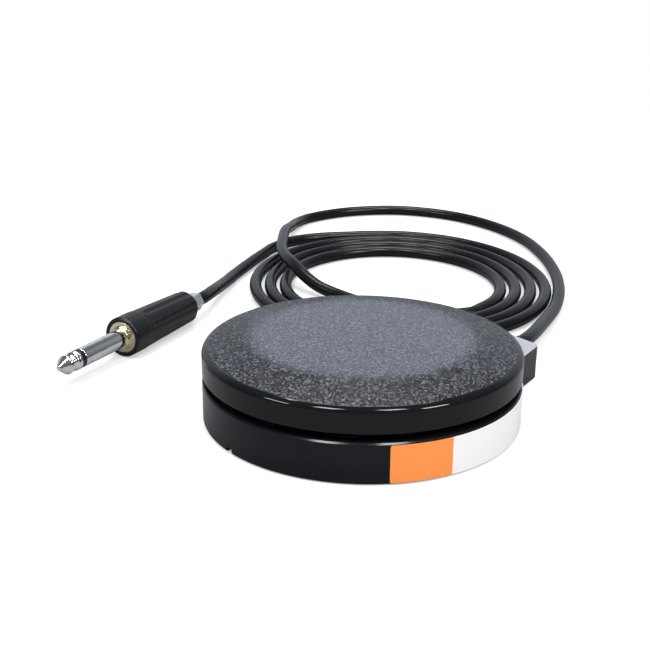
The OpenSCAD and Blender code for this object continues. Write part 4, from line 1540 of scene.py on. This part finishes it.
@dataclass
class Studio:
    """A plain pale floor, a world that is bright behind the pedal, and soft lamps, in metres."""

    lamps: List[Softbox] = field(default_factory=lambda: [
        Softbox("overhead", (-0.36, 0.28, 1.0), (0, 0, 0), (0.75, 0.2), 10.0),
        Softbox("high_right", (0.45, -0.06, 0.87), (0, 0, 0), (0.2, 0.26), 5.0),
        Softbox("high_left", (0.12, -0.44, 0.87), (0, 0, 0), (0.2, 0.26), 5.0),
        Softbox("right_strip", (0.82, 0.22, 0.62), (0, 0, 0.01), (0.3, 0.16), 6.5,
                (1, 0.97, 0.92)),
        Softbox("left_strip", (-0.2, -0.86, 0.6), (0, 0, 0.01), (0.3, 0.14), 3.5,
                (1, 0.97, 0.92))])
    ambient: float = 0.14
    horizon: float = 0.7
    sky: Colour = (0.86, 0.92, 1.0)
    floor: Colour = (0.5, 0.5, 0.5)
    unseen: Colour = (0.22, 0.225, 0.24)
    lift: float = 0.42
    floor_size: float = 8.0
    floor_drop: float = 0.0002
    fade: Tuple[float, float] = (0.28, 0.75)
    spread: Tuple[float, float] = (0.2, 0.85)
    band: Tuple[float, float] = (0.48, 0.72)
    behind: Tuple[float, float] = (-0.788, 0.616)

    def _floor(self) -> None:
        """Makes the floor: white to the camera far off, and with soft shadows close by."""
        Bench.clear()
        bpy.ops.mesh.primitive_plane_add(size=self.floor_size, location=(0, 0, -self.floor_drop))
        floor = bpy.context.active_object
        floor.name = "floor"
        made = bpy.data.materials.new("floor_white")
        made.use_nodes = True
        graph = Graph(made.node_tree)
        seen = graph.node("ShaderNodeLightPath", {}, {}, "Is Camera Ray")
        x, y, _ = graph.axes(graph.place())
        far = ((x * x + y * y) ** 0.5).step(*self.fade)
        matt = graph.node("ShaderNodeBsdfDiffuse", {}, {
            "Color": graph.tones(seen, self.unseen, self.floor)})
        lift = graph.node("ShaderNodeEmission", {}, {"Color": (1, 1, 1, 1), "Strength": self.lift})
        white = graph.node("ShaderNodeEmission", {}, {"Color": (1, 1, 1, 1), "Strength": 1.0})
        near = graph.node("ShaderNodeAddShader", {}, {0: matt, 1: lift})
        shown = graph.node("ShaderNodeMixShader", {}, {0: far, 1: near, 2: white})
        mixed = graph.node("ShaderNodeMixShader", {}, {0: seen, 1: matt, 2: shown})
        graph.node("ShaderNodeOutputMaterial", {}, {"Surface": mixed})
        floor.data.materials.append(made)

    def _world(self) -> None:
        """Makes the world: white where it is seen, and brighter low behind the pedal."""
        world = bpy.data.worlds.new("studio")
        bpy.context.scene.world = world
        world.use_nodes = True
        graph = Graph(world.node_tree)
        seen = graph.node("ShaderNodeLightPath", {}, {}, "Is Camera Ray")
        toward = graph.node("ShaderNodeTexCoord", {}, {}, "Generated")
        x, y, z = graph.axes(toward)
        back = (x * self.behind[0] + y * self.behind[1]).step(*self.spread)
        low = 1 - z.step(*self.band)
        light = back * low * (self.horizon - self.ambient) + self.ambient
        sky = graph.node("ShaderNodeBackground", {}, {
            "Color": graph.tones(seen, self.sky, (1, 1, 1)),
            "Strength": light + seen * (1 - light)})
        graph.node("ShaderNodeOutputWorld", {}, {"Surface": sky})

    def build(self) -> None:
        """Makes the studio."""
        self._floor()
        self._world()
        for lamp in self.lamps:
            lamp.build()
        bpy.context.scene.view_settings.view_transform = "Standard"


def main() -> None:
    """Builds the camera, the cord and its plug, the pedal and the studio."""
    logging.basicConfig(level=logging.INFO)
    Viewpoint().build()
    plug = PhonePlug()
    CordLead().build(plug, plug.build())
    PressCap().build()
    BaseShell().build()
    ReturnSprings().build()
    SnapSwitch().build()
    Studio().build()
    Bench.clear()


if __name__ == "__main__":
    main()
